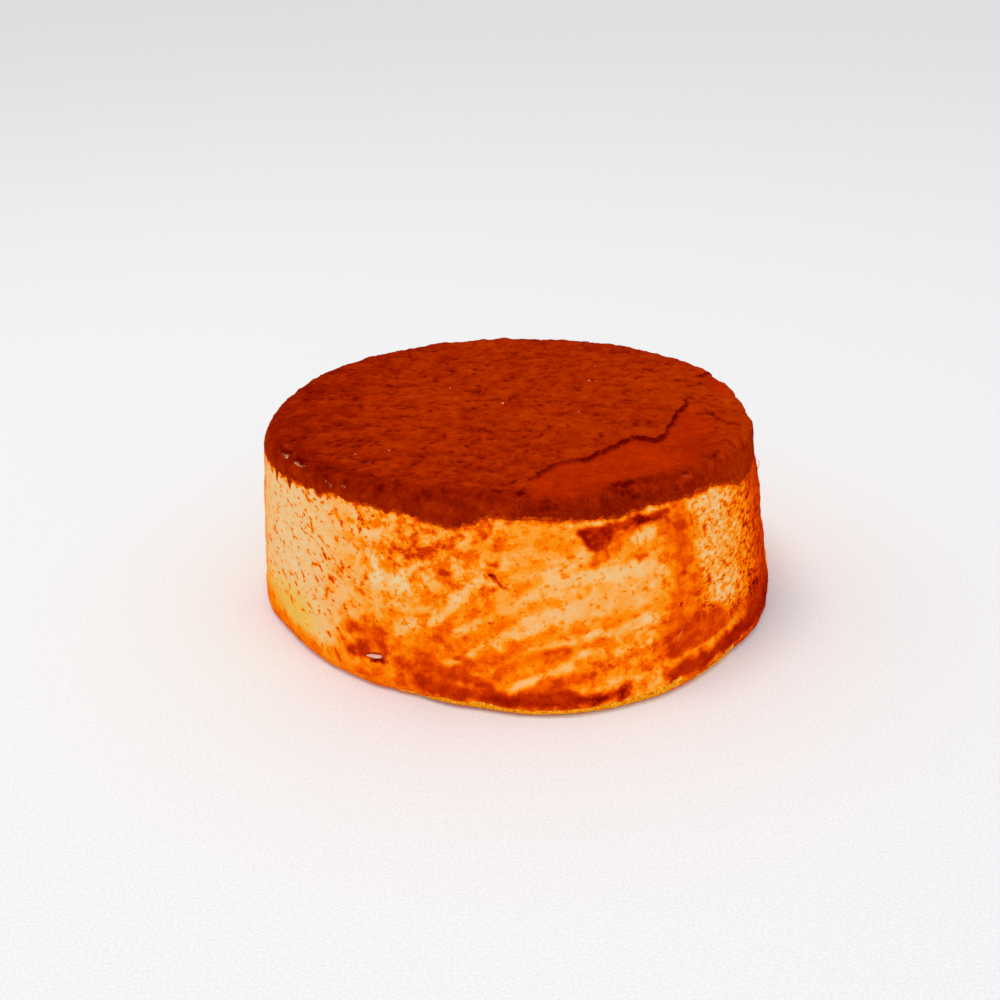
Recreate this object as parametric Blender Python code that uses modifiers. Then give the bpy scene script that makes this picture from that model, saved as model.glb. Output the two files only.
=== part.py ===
"""A small round tiramisu: a low drum of mascarpone cream on a thin sponge, under a crust of cocoa.

Metres, +Z up. The origin is the middle of the face that the cake rests on, and -Y is its front.
Every piece is first turned as if the cake were a straight-sided drum. settled() then takes its
points to where they lie on the real one, whose foot has spread and whose top leans back a little,
so the pieces stay the same small gap apart all over. Crags, streaks, chips and the scar that a
flake has left in the crust are relief in the solids.
"""

import math

import bmesh
import bpy
from mathutils import Matrix, Vector, noise

# ---- driving dimensions -------------------------------------------------------------------------
TOP_RADIUS = 0.0410  # of the drum, and the mean radius of the real top
FOOT_RADIUS = 0.0447  # mean radius at the foot, where the cream has spread
HEIGHT = 0.0341  # from the resting face to the top, on the axis
BELLY = 0.0002  # how far the side swells between foot and top
TOP_SLOPE = Vector((-0.008, -0.025))  # rise of the top for each metre along X and Y

SPONGE_THICKNESS = 0.0014
SPONGE_PROUD = 0.0001  # how far the sponge's edge stands out past the drum
CRUST_TOP = 0.0013  # thickness of the cocoa on top
CRUST_SIDE = 0.0008  # and where it runs down over the edge
EDGE_RADIUS = 0.0022  # rounding of the top edge
LIP_DROP = 0.0042  # how far below the top the crust's lip lies on the drum
CREAM_INSET = 0.0002  # how far the cream lies behind the face of the crust
FOOT_ROUNDING = 0.0004  # of the cream's lower edge and the sponge's edge
GAP = 0.0003  # between neighbouring pieces

TURN_STEPS = 90  # round the axis
TOP_STEPS = 20  # from the axis to the top edge
SIDE_STEPS = 17  # down the cream's side
AXIS_MERGE = 0.00001

# How each outline departs from a circle: an oval share and soft lobes that die away towards the back,
# each with the angle by which it is turned, and the outline's middle.
TOP_OUTLINE = {
    "radius": TOP_RADIUS,
    "oval": 0.0144,
    "oval_turn": math.radians(12),
    "lobes": 0.0101,
    "lobes_turn": math.radians(-110),
    "middle": Vector((-0.0005, 0.0003)),
}
FOOT_OUTLINE = {
    "radius": FOOT_RADIUS,
    "oval": 0.0114,
    "oval_turn": math.radians(-6),
    "lobes": 0.0344,
    "lobes_turn": math.radians(141),
    "middle": Vector((0.0009, 0.0005)),
}

LOBE_FADE = 1.2

# How far the crust's ragged lip lies below the top: (degrees round the axis, metres).
LIP_DROPS = (
    (-165, 0.0060),
    (-150, 0.0052),
    (-134, 0.0034),
    (-120, 0.0048),
    (-104, 0.0053),
    (-96, 0.0032),
    (-84, 0.0032),
    (-73, 0.0040),
    (-57, 0.0033),
    (-45, 0.0037),
    (-31, 0.0056),
    (-18, 0.0064),
    (8, 0.0052),
    (40, 0.0038),
    (75, 0.0050),
    (110, 0.0037),
    (150, 0.0050),
)
LIP_RAGGED = 0.0003
LIP_RAGGED_WAVE = 0.0030
LIP_FADE = 0.0070  # how far below the lip its waviness dies away

# Relief: how high it stands, and how long its waves are.
CRAG_HEIGHT = 0.00045
CRAG_WAVE = 0.0060
STREAK_HEIGHT = 0.00025
STREAK_WAVE = 0.0050
STREAK_STRETCH = 3.0  # how much longer a streak is than it is wide
STREAK_RISE = math.radians(22)  # to the right, seen from outside
CRUMB_HEIGHT = 0.00030
CRUMB_WAVE = 0.0035

# The scar where a flake has come off the crust: the corners of its floor as (x, y, depth below the
# top). It is deepest along the broken edge and comes out of the surface on the other side.
BROKEN_EDGE = (
    (0.0013, -0.0347, 0.0002),
    (0.0033, -0.0303, 0.0006),
    (0.0057, -0.0271, 0.0008),
    (0.0089, -0.0251, 0.0008),
    (0.0113, -0.0247, 0.0009),
    (0.0133, -0.0223, 0.0009),
    (0.0157, -0.0199, 0.0009),
    (0.0173, -0.0171, 0.0009),
    (0.0197, -0.0155, 0.0009),
    (0.0229, -0.0171, 0.0009),
    (0.0245, -0.0151, 0.0009),
    (0.0257, -0.0111, 0.0008),
    (0.0269, -0.0075, 0.0008),
    (0.0289, -0.0031, 0.0007),
    (0.0301, 0.0009, 0.0006),
    (0.0313, 0.0033, 0.0003),
)
SCAR_FAR_SIDE = (
    (0.0343, -0.0060, -0.0004),
    (0.0350, -0.0140, -0.0004),
    (0.0322, -0.0220, -0.0004),
    (0.0250, -0.0300, -0.0004),
    (0.0130, -0.0370, -0.0004),
    (0.0030, -0.0388, -0.0004),
)
SMALL_BROKEN_EDGE = ((0.0326, 0.0128, 0.0004), (0.0349, 0.0143, 0.0006), (0.0376, 0.0155, 0.0006))
SMALL_SCAR_FAR_SIDE = ((0.0396, 0.0080, 0.0001), (0.0388, 0.0010, -0.0004), (0.0352, 0.0030, -0.0003))
SCAR_HEADROOM = 0.0020  # how far the cutters reach above the top

# Small marks: (name, degrees round the axis, height, half width, half height, depth, turn in degrees).
RIM_CHIPS = (
    ("left_chip", -152, 0.0331, 0.0013, 0.0008, 0.0004, -12),
    ("middle_chip", -144, 0.0331, 0.0015, 0.0007, 0.0004, -8),
    ("right_chip", -131, 0.0326, 0.0009, 0.0007, 0.0004, 14),
)
CREAM_PITS = (
    ("slit", -123, 0.0056, 0.0018, 0.0007, 0.0011, -6),
    ("gouge", -94, 0.0214, 0.0016, 0.0004, 0.0006, -52),
)
COCOA_LUMPS = (
    ("lump", -73.6, 0.0270, 0.0026, 0.0018, 0.0006, 10),
    ("smear", -62.5, 0.0284, 0.0038, 0.0008, 0.0005, 5),
)

COCOA_COLOUR = (0.38, 0.045, 0.008, 1.0)
CREAM_COLOUR = (0.88, 0.56, 0.25, 1.0)
SPONGE_COLOUR = (0.80, 0.42, 0.07, 1.0)


# ---- scene and materials ------------------------------------------------------------------------
def clear_scene():
    for old in list(bpy.data.objects):
        bpy.data.objects.remove(old, do_unlink=True)


def new_collection(name):
    collection = bpy.data.collections.new(name)
    bpy.context.scene.collection.children.link(collection)
    return collection


def food_material(name, colour, roughness):
    material = bpy.data.materials.new(name)
    material.use_nodes = True
    shader = material.node_tree.nodes["Principled BSDF"]
    shader.inputs["Base Color"].default_value = colour
    shader.inputs["Roughness"].default_value = roughness
    shader.inputs["Metallic"].default_value = 0.0
    return material


# ---- the real shape of the cake -----------------------------------------------------------------
def outline_radius(outline, angle):
    oval = outline["oval"] * math.cos(2 * angle - outline["oval_turn"])
    lobes = outline["lobes"] * math.cos(3 * angle - outline["lobes_turn"])
    forward = min(1.0, (1 - math.sin(angle)) / LOBE_FADE)
    return outline["radius"] * (1 + oval + lobes * forward)


def settled(point):
    """Where a point of the straight drum lies on the real cake."""
    angle = math.atan2(point.y, point.x)
    share = point.z / HEIGHT
    foot = outline_radius(FOOT_OUTLINE, angle)
    head = outline_radius(TOP_OUTLINE, angle)
    reach = foot + (head - foot) * share + BELLY * math.sin(math.pi * share)
    middle = FOOT_OUTLINE["middle"].lerp(TOP_OUTLINE["middle"], share)
    place = middle + point.xy * reach / TOP_RADIUS
    return Vector((place.x, place.y, point.z + share * TOP_SLOPE.dot(place)))


def lip_drop(angle):
    """How far the crust's lip lies below the top at this angle, eased between the named places."""
    first_degree, first_drop = LIP_DROPS[0]
    places = [*LIP_DROPS, (first_degree + 360, first_drop)]
    degrees = (math.degrees(angle) - first_degree) % 360 + first_degree
    for (start, before), (end, after) in zip(places, places[1:]):
        if start <= degrees <= end:
            share = (1 - math.cos(math.pi * (degrees - start) / (end - start))) / 2
            break
    on_rim = Vector((math.cos(angle), math.sin(angle), 0.0)) * TOP_RADIUS
    return before + (after - before) * share + LIP_RAGGED * noise.noise(on_rim / LIP_RAGGED_WAVE)


def follow_lip(point):
    """Shifts the drum's points near the lip up or down, so that crust and cream share its ragged line."""
    edge, lip = HEIGHT - EDGE_RADIUS, HEIGHT - LIP_DROP
    above = (edge - point.z) / (edge - lip)
    below = 1 - (lip - point.z) / LIP_FADE
    weight = max(0.0, min(above, below, 1.0))
    shift = lip_drop(math.atan2(point.y, point.x)) - LIP_DROP
    return point - Vector((0, 0, shift * weight))


def outward(point):
    """The level direction from the axis through a point."""
    return Vector((point.x, point.y, 0)).normalized()


# ---- building a piece ---------------------------------------------------------------------------
def line(start, end, count):
    """count profile points from start to end, without end."""
    start, end = Vector(start), Vector(end)
    return [tuple(start.lerp(end, step / count)) for step in range(count)]


def arc(middle, radii, first_degree, last_degree, count):
    """count profile points along part of an ellipse."""
    points = []
    for step in range(count):
        angle = math.radians(first_degree + (last_degree - first_degree) * step / (count - 1))
        points.append((middle[0] + radii[0] * math.cos(angle), middle[1] + radii[1] * math.sin(angle)))
    return points


def turned_mesh(name, profile):
    """A mesh turned about Z from (radius, height) points that run from the axis, out, down and back."""
    mesh = bpy.data.meshes.new(name)
    points = [(radius, 0, height) for radius, height in profile]
    mesh.from_pydata(points, [(start, start + 1) for start in range(len(points) - 1)], [])
    blank = bpy.data.objects.new(name, mesh)
    bpy.context.scene.collection.objects.link(blank)
    screw = blank.modifiers.new("turn", "SCREW")
    screw.steps = TURN_STEPS
    screw.render_steps = TURN_STEPS
    screw.use_merge_vertices = True
    screw.merge_threshold = AXIS_MERGE
    graph = bpy.context.evaluated_depsgraph_get()
    solid = bpy.data.meshes.new_from_object(blank.evaluated_get(graph))
    bpy.data.objects.remove(blank, do_unlink=True)
    return solid


def make_piece(name, profile, relief, material, collection):
    """A turned solid whose points have been moved by its own relief and taken to the real cake."""
    mesh = turned_mesh(name, profile)
    bm = bmesh.new()
    bm.from_mesh(mesh)
    for vertex in bm.verts:
        vertex.co = settled(follow_lip(vertex.co) + relief(vertex.co))
    bmesh.ops.recalc_face_normals(bm, faces=bm.faces)
    bm.to_mesh(mesh)
    bm.free()
    mesh.materials.append(material)
    mesh.shade_smooth()
    mesh.set_sharp_from_angle(angle=math.radians(40))
    piece = bpy.data.objects.new(name, mesh)
    collection.objects.link(piece)
    return piece


# ---- the pieces ---------------------------------------------------------------------------------
def make_crust(material, collection):
    edge = TOP_RADIUS - EDGE_RADIUS
    corner = HEIGHT - EDGE_RADIUS
    lip = HEIGHT - LIP_DROP
    inner = TOP_RADIUS - CRUST_SIDE
    under = HEIGHT - CRUST_TOP
    profile = [
        *line((0, HEIGHT), (edge, HEIGHT), TOP_STEPS),
        *arc((edge, corner), (EDGE_RADIUS, EDGE_RADIUS), 90, 0, 5),
        (TOP_RADIUS, (corner + lip) / 2),
        (TOP_RADIUS, lip + CRUST_SIDE / 2),
        (TOP_RADIUS - CRUST_SIDE / 2, lip),
        (inner, lip + CRUST_SIDE / 4),
        *arc((edge, corner), (EDGE_RADIUS - CRUST_SIDE, EDGE_RADIUS - CRUST_TOP), 0, 90, 4),
        (0, under),
    ]

    def crags(point):
        """Crags on the face that shows, square to it, and none on the face that lies on the cream."""
        on_top = point.z > (HEIGHT + under) / 2
        on_side = point.xy.length > TOP_RADIUS - CRUST_SIDE / 4 and point.z > lip
        if not (on_top or on_side):
            return Vector()
        steepness = min(1.0, (HEIGHT - point.z) / EDGE_RADIUS)
        square = Vector((0, 0, 1)).lerp(outward(point), steepness)
        return square * noise.fractal(point / CRAG_WAVE, 0.9, 2.0, 2) * CRAG_HEIGHT

    return make_piece("cocoa_crust", profile, crags, material, collection)


def make_cream(material, collection):
    edge = TOP_RADIUS - EDGE_RADIUS
    corner = HEIGHT - EDGE_RADIUS
    lip = HEIGHT - LIP_DROP
    side = TOP_RADIUS - CREAM_INSET
    tucked = TOP_RADIUS - CRUST_SIDE - GAP
    top = HEIGHT - CRUST_TOP - GAP
    bottom = SPONGE_THICKNESS + GAP
    shoulder = lip - GAP - CRUST_SIDE / 2
    profile = [
        (0, top),
        *arc((edge, corner), (tucked - edge, top - corner), 90, 0, 3),
        (tucked, lip),
        (tucked + GAP, lip - GAP),
        *line((side, shoulder), (side, bottom + FOOT_ROUNDING), SIDE_STEPS),
        *arc((side - FOOT_ROUNDING, bottom + FOOT_ROUNDING), (FOOT_ROUNDING, FOOT_ROUNDING), 0, -90, 3),
        (0, bottom),
    ]

    def streaks(point):
        """Shallow streaks that a cloth or spatula has drawn across the side, rising to the right."""
        if point.xy.length < side - FOOT_ROUNDING / 2:
            return Vector()
        round_side = math.atan2(point.y, point.x) * TOP_RADIUS
        along = math.cos(STREAK_RISE) * round_side + math.sin(STREAK_RISE) * point.z
        across = math.cos(STREAK_RISE) * point.z - math.sin(STREAK_RISE) * round_side
        fade = min(1.0, (lip - point.z) / EDGE_RADIUS)
        place = Vector((along / STREAK_STRETCH, across, 0)) / STREAK_WAVE
        return outward(point) * noise.noise(place) * STREAK_HEIGHT * fade

    return make_piece("cream_body", profile, streaks, material, collection)


def make_sponge(material, collection):
    side = TOP_RADIUS + SPONGE_PROUD
    top = SPONGE_THICKNESS
    upper_rounding = (FOOT_ROUNDING, top / 2)
    profile = [
        (0, top),
        *arc((side - FOOT_ROUNDING, top / 2), upper_rounding, 90, 0, 3),
        *arc((side - FOOT_ROUNDING, top / 2), upper_rounding, -30, -90, 2),
        (0, 0),
    ]

    def crumbs(point):
        """An uneven edge, and flat faces above and below."""
        if point.xy.length < side - FOOT_ROUNDING * 1.5:
            return Vector()
        return outward(point) * noise.noise(point / CRUMB_WAVE) * CRUMB_HEIGHT

    return make_piece("sponge_base", profile, crumbs, material, collection)


# ---- what is cut into them and joined to them ---------------------------------------------------
def scar_cutter(name, corners, collection):
    """A prism over the corners, whose floor lies at each corner's depth below the leaning top."""
    curve = bpy.data.curves.new(name, "CURVE")
    curve.dimensions = "2D"
    curve.fill_mode = "BOTH"
    curve.extrude = SCAR_HEADROOM / 2
    spline = curve.splines.new("POLY")
    spline.points.add(len(corners) - 1)
    spline.use_cyclic_u = True
    for spot, (x, y, _depth) in zip(spline.points, corners):
        spot.co = (x, y, 0, 1)
    flat = bpy.data.objects.new(name, curve)
    collection.objects.link(flat)
    graph = bpy.context.evaluated_depsgraph_get()
    mesh = bpy.data.meshes.new_from_object(flat.evaluated_get(graph))
    bpy.data.objects.remove(flat, do_unlink=True)
    bm = bmesh.new()
    bm.from_mesh(mesh)
    bmesh.ops.remove_doubles(bm, verts=bm.verts, dist=AXIS_MERGE)
    for vertex in bm.verts:
        plan = vertex.co.xy
        depth = min(corners, key=lambda corner: (Vector(corner[:2]) - plan).length)[2]
        height = SCAR_HEADROOM if vertex.co.z > 0 else -depth
        vertex.co.z = HEIGHT + TOP_SLOPE.dot(plan) + height
    bmesh.ops.recalc_face_normals(bm, faces=bm.faces)
    bm.to_mesh(mesh)
    bm.free()
    return guide_object(name, mesh, collection)


def flattened_ball(name, degrees, height, half_width, half_height, depth, turn, collection):
    """An ellipsoid whose middle lies on the side of the cake, with its short axis square to it."""
    angle = math.radians(degrees)
    corner = HEIGHT - EDGE_RADIUS
    rounding = math.asin(max(0.0, min(1.0, (height - corner) / EDGE_RADIUS)))
    radius = TOP_RADIUS - CREAM_INSET - EDGE_RADIUS * (1 - math.cos(rounding))
    middle = settled(Vector((radius * math.cos(angle), radius * math.sin(angle), height)))
    facing = Matrix.Rotation(angle, 4, "Z") @ Matrix.Rotation(-rounding, 4, "Y")
    tilted = Matrix.Rotation(math.radians(turn), 4, "X")
    sizes = Matrix.Diagonal((depth, half_width, half_height, 1))
    mesh = bpy.data.meshes.new(name)
    bm = bmesh.new()
    placed = Matrix.Translation(middle) @ facing @ tilted @ sizes
    bmesh.ops.create_uvsphere(bm, u_segments=12, v_segments=8, radius=1, matrix=placed)
    bm.to_mesh(mesh)
    bm.free()
    return guide_object(name, mesh, collection)


def guide_object(name, mesh, collection):
    guide = bpy.data.objects.new(name, mesh)
    guide.hide_render = True
    guide.display_type = "WIRE"
    collection.objects.link(guide)
    return guide


def combine(piece, guide, operation):
    boolean = piece.modifiers.new(guide.name, "BOOLEAN")
    boolean.operation = operation
    boolean.object = guide


def main():
    clear_scene()
    parts = new_collection("tiramisu")
    cutters = new_collection("cutters")
    cocoa = food_material("cocoa", COCOA_COLOUR, 0.95)
    cream = food_material("cream", CREAM_COLOUR, 0.55)
    sponge = food_material("sponge", SPONGE_COLOUR, 0.85)

    crust = make_crust(cocoa, parts)
    combine(crust, scar_cutter("scar", [*BROKEN_EDGE, *SCAR_FAR_SIDE], cutters), "DIFFERENCE")
    small_corners = [*SMALL_BROKEN_EDGE, *SMALL_SCAR_FAR_SIDE]
    combine(crust, scar_cutter("small_scar", small_corners, cutters), "DIFFERENCE")
    for chip in RIM_CHIPS:
        combine(crust, flattened_ball(*chip, cutters), "DIFFERENCE")

    body = make_cream(cream, parts)
    for pit in CREAM_PITS:
        combine(body, flattened_ball(*pit, cutters), "DIFFERENCE")
    for lump in COCOA_LUMPS:
        combine(body, flattened_ball(*lump, cutters), "UNION")

    make_sponge(sponge, parts)


main()
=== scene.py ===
"""Looks of the small round tiramisu: craggy cocoa, smeared mascarpone cream and a thin crumbly sponge.

Lengths are in millimetres, unless a name or a comment says metres, and become metres where an object
is made. Places round the axis are in degrees, -90 being the front; what is called angle is in radians.
Crust, cream and sponge each start as a straight-sided drum, and settled() takes them to the real
cake's uneven shape, which is that of the solids they stand for.
"""

import math

import bmesh
import bpy
import numpy as np
from mathutils import Matrix, Vector, noise


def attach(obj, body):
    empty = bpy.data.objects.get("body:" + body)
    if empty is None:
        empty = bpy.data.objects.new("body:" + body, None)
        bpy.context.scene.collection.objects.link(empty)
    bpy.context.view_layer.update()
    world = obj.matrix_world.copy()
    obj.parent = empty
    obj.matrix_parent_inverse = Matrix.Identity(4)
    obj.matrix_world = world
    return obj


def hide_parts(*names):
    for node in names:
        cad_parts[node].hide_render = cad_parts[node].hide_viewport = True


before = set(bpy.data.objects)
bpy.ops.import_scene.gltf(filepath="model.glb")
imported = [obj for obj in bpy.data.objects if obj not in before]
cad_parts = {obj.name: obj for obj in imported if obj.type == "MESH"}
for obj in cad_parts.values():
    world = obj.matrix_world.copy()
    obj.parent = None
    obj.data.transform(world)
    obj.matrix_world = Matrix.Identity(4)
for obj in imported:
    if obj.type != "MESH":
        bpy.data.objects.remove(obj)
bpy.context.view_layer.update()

MM = 0.001

# ---- shape shared with the solids ---------------------------------------------------------------
TOP_RADIUS = 41.0
FOOT_RADIUS = 44.7
HEIGHT = 34.1
BELLY = 0.2
TOP_SLOPE = (-0.008, -0.025)
SPONGE_THICKNESS = 1.4
CRUST_SIDE = 0.8
EDGE_RADIUS = 2.2
LIP_DROP = 4.2
CREAM_INSET = 0.2
LOBE_FADE = 1.2
LIP_FADE = 7.0
TOP_OUTLINE = {"radius": TOP_RADIUS, "oval": 0.0144, "oval_turn": 12, "lobes": 0.0101, "lobes_turn": -110}
TOP_MIDDLE = (-0.5, 0.3)
FOOT_OUTLINE = {"radius": FOOT_RADIUS, "oval": 0.0114, "oval_turn": -6, "lobes": 0.0344, "lobes_turn": 141}
FOOT_MIDDLE = (0.9, 0.5)

# ---- finer shape, which the solids have more plainly or not at all -------------------------------
BULGES = (
    # where the side stands out a little: (degrees, half reach, height, half reach, how far)
    (-6, 32, 17, 13, 0.3), (-12, 26, 6, 7, 0.3), (-8, 30, 29, 7, -0.4), (-178, 40, 20, 24, 0.3),
)
FOOT_BULGE = (
    # how far the foot stands out: (degrees, how far)
    (-178, 0.15), (-168, 0.10), (-161, -0.25), (-154, -0.35), (-148, -0.05), (-142, 0.25),
    (-134, 0.40), (-124, 0.45), (-118, 0.05), (-112, -0.10), (-105, 0.30), (-100, 0.20),
    (-95, 0.60), (-90, 1.00), (-82, 1.25), (-74, 1.10), (-66, 0.95), (-60, 0.80), (-54, 0.50),
    (-47, 0.35), (-39, 0.15), (-34, 0.45), (-29, 0.85), (-22, 0.90), (-14, 0.70), (-4, 0.60),
    (12, 0.30), (36, 0.0), (150, 0.0),
)
FOOT_FADE = 9.0  # the height at which the foot's bulge has faded out
ROUNDER_RIMS = (
    # where the rim is rounder: (degrees, half reach, how far it is drawn in)
    (2, 14, 1.0), (170, 26, 0.6),
)
LIP_DROPS = (
    # how far below the top the crust's lip hangs: (degrees, how far)
    (-165, 4.15), (-155.5, 4.0), (-150, 3.7), (-145, 3.85), (-134, 2.8), (-124, 3.4), (-118, 3.4),
    (-111, 4.0), (-103, 5.2), (-97.5, 3.2), (-88, 3.25), (-80, 4.0), (-72, 4.35), (-68, 4.75),
    (-64, 4.1), (-60, 3.65), (-56, 4.0), (-52, 4.4), (-48, 3.8), (-42, 4.2), (-36, 5.1), (-31, 6.5),
    (-24, 7.0), (-18, 6.6), (8, 5.2), (40, 3.8), (75, 5.0), (110, 3.7), (150, 4.6),
)
LIP_DRIPS = (
    # narrow drips of the lip: (degrees, how far they hang, half width in degrees)
    (-155.6, 1.5, 1.3), (-148.9, 1.3, 1.1), (-137.5, 0.7, 1.6), (-118.6, 0.6, 1.4),
    (-29.5, 0.8, 1.2),
)
MM_PER_DEGREE = math.radians(1) * 43.0  # round the side at its middle height

# ---- fineness of the meshes ---------------------------------------------------------------------
TOP_CELLS = 240  # squares along each side of the top's grid, which is pressed into a disc
ROUND_ROWS = 11
SKIRT_ROWS = 14
CREAM_COLUMNS = 1020
CREAM_ROWS = 88
SPONGE_ROWS = 12

# ---- the crust's marks, in plan -----------------------------------------------------------------
BROKEN_EDGE = (
    (1.3, -34.7), (3.3, -30.3), (5.7, -27.1), (8.9, -25.1), (11.3, -24.7), (13.3, -22.3),
    (15.7, -19.9), (17.3, -17.1), (19.7, -15.5), (22.9, -17.1), (24.5, -15.1), (25.7, -11.1),
    (26.9, -7.5), (28.9, -3.1), (30.1, 0.9), (31.3, 3.3),
)
SCAR_FAR_SIDE = (
    (34.0, -4.0), (35.6, -12.0), (34.2, -20.0), (31.8, -25.4), (27.6, -30.4), (22.4, -33.6),
    (17.4, -34.7), (14.4, -35.8), (12.6, -38.6), (7.0, -39.9), (1.6, -39.9), (0.4, -37.4),
)
SMALL_BROKEN_EDGE = ((32.2, 12.4), (33.4, 14.0), (35.0, 14.6), (36.6, 17.0), (39.6, 18.8))
SMALL_SCAR_FAR_SIDE = ((41.5, 12.0), (41.0, 0.5), (36.2, 1.4), (33.4, 6.5))
SCAR_DEPTH = 0.85
SMALL_SCAR_DEPTH = 0.75
CHIP_DEPTH = 0.30
PIT_COUNT = 640
PIT_DEPTH = 0.34
# the cocoa's unevenness, coarse to fine: how far apart its bumps lie and how high they stand
CRAG_WAVE, CRAG_HEIGHT = 6.0, 0.24
PEBBLE_WAVE, PEBBLE_HEIGHT = 2.0, 0.17
CRUMB_WAVE, CRUMB_HEIGHT = 1.5, 0.22
POWDER_WAVE, POWDER_HEIGHT = 0.6, 0.05
CRACKS = (
    # short cracks: a path in plan, its half width and its depth
    (((31.2, 2.6), (32.4, -0.4), (33.2, -4.8)), 0.24, 0.24),
    (((33.2, -5.4), (34.2, -8.6)), 0.36, 0.40),
    (((35.0, -9.6), (37.3, -11.9)), 0.40, 0.45),
    (((33.7, -18.4), (34.9, -19.6)), 0.45, 0.40),
    (((34.9, -18.6), (35.4, -19.9)), 0.40, 0.35),
    (((32.3, -23.0), (30.6, -25.2)), 0.35, 0.35),
    (((14.6, -35.4), (16.2, -35.6), (17.6, -34.7)), 0.50, 0.45),
    (((15.6, -36.8), (18.6, -36.2)), 0.40, 0.30),
    (((3.6, -39.6), (7.2, -40.0)), 0.40, 0.25),
    (((-16.5, -27.5), (-16.0, -24.5), (-12.5, -25.4), (-8.6, -27.2)), 0.30, 0.22),
    (((-6.4, 3.2), (-3.4, 3.0), (-2.6, 4.2)), 0.30, 0.22),
    (((20.5, 23.0), (23.5, 22.0), (26.0, 22.6)), 0.30, 0.25),
    (((-23.0, 8.0), (-20.0, 6.6), (-18.6, 7.4)), 0.30, 0.22),
)
RIM_CHIPS = (
    # where the cocoa has chipped off the rim: a path in space, its half width and its paleness
    (((-38.4, -16.1, 34.0), (-38.0, -17.4, 33.9), (-37.1, -19.1, 34.2)), 0.16, 0.40),
    (((-37.1, -19.1, 34.2), (-36.4, -19.8, 34.3)), 0.24, 0.78),
    (((-35.0, -22.0, 34.2), (-34.2, -23.3, 34.2)), 0.22, 0.72),
    (((-34.2, -23.3, 34.2), (-33.3, -24.2, 34.4)), 0.16, 0.60),
    (((-29.6, -28.6, 33.8), (-29.0, -29.1, 33.6)), 0.22, 0.42),
    (((-29.0, -29.1, 33.5), (-28.7, -29.6, 33.2)), 0.30, 0.68),
    (((-26.7, -31.0, 33.8), (-26.4, -31.2, 33.8)), 0.22, 0.6),
    (((-36.4, -21.1, 32.8), (-36.3, -21.2, 32.8)), 0.14, 0.9),
    (((25.5, -31.0, 33.5), (26.3, -30.7, 33.5)), 0.18, 0.6),
)
SUGAR_SPECKS = (
    # single pale grains: a place in plan and the radius
    (-1.5, 1.1, 0.20), (-10.9, 9.9, 0.13), (14.1, 12.1, 0.16), (15.3, 11.5, 0.13),
    (11.4, -3.9, 0.12), (-20.1, -19.7, 0.15), (-25.3, -21.3, 0.13), (15.9, 20.3, 0.12),
)

# ---- the cream's stains -------------------------------------------------------------------------
# Each stroke runs from one place on the side to another: (degrees, height, degrees, height,
# half width, cocoa), where cocoa goes from 0, clean cream, through 0.5, orange, to 1, dark cocoa.
WASHES = (
    (-130, 14, -120, 30, 6.0, 0.29), (-117.5, 28, -102, 28, 4.0, 0.46),
    (-115.5, 22, -102, 23, 3.5, 0.42), (-101, 27, -84, 28, 3.5, 0.48),
    (-98, 22, -80, 25, 2.5, 0.36), (-116, 11, -62, 9, 6.0, 0.47), (-112, 4, -64, 4, 4.0, 0.54),
    (-86, 27, -60, 27, 3.0, 0.42), (-86, 18.5, -61, 19.5, 4.5, 0.25),
    (-53.6, 28, -52.6, 8, 4.2, 0.60), (-59, 8.6, -44.5, 8.0, 3.0, 0.75),
    (-30, 5.6, -24, 5.8, 2.4, 0.78), (-25, 5.8, -6, 6.2, 3.0, 0.84),
    (-130.5, 6.5, -117, 7.5, 3.6, 0.52), (-158, 1.8, -126, 1.8, 1.9, 0.50),
    (-174, 2.4, -160, 1.8, 3.0, 0.50),
)
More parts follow.
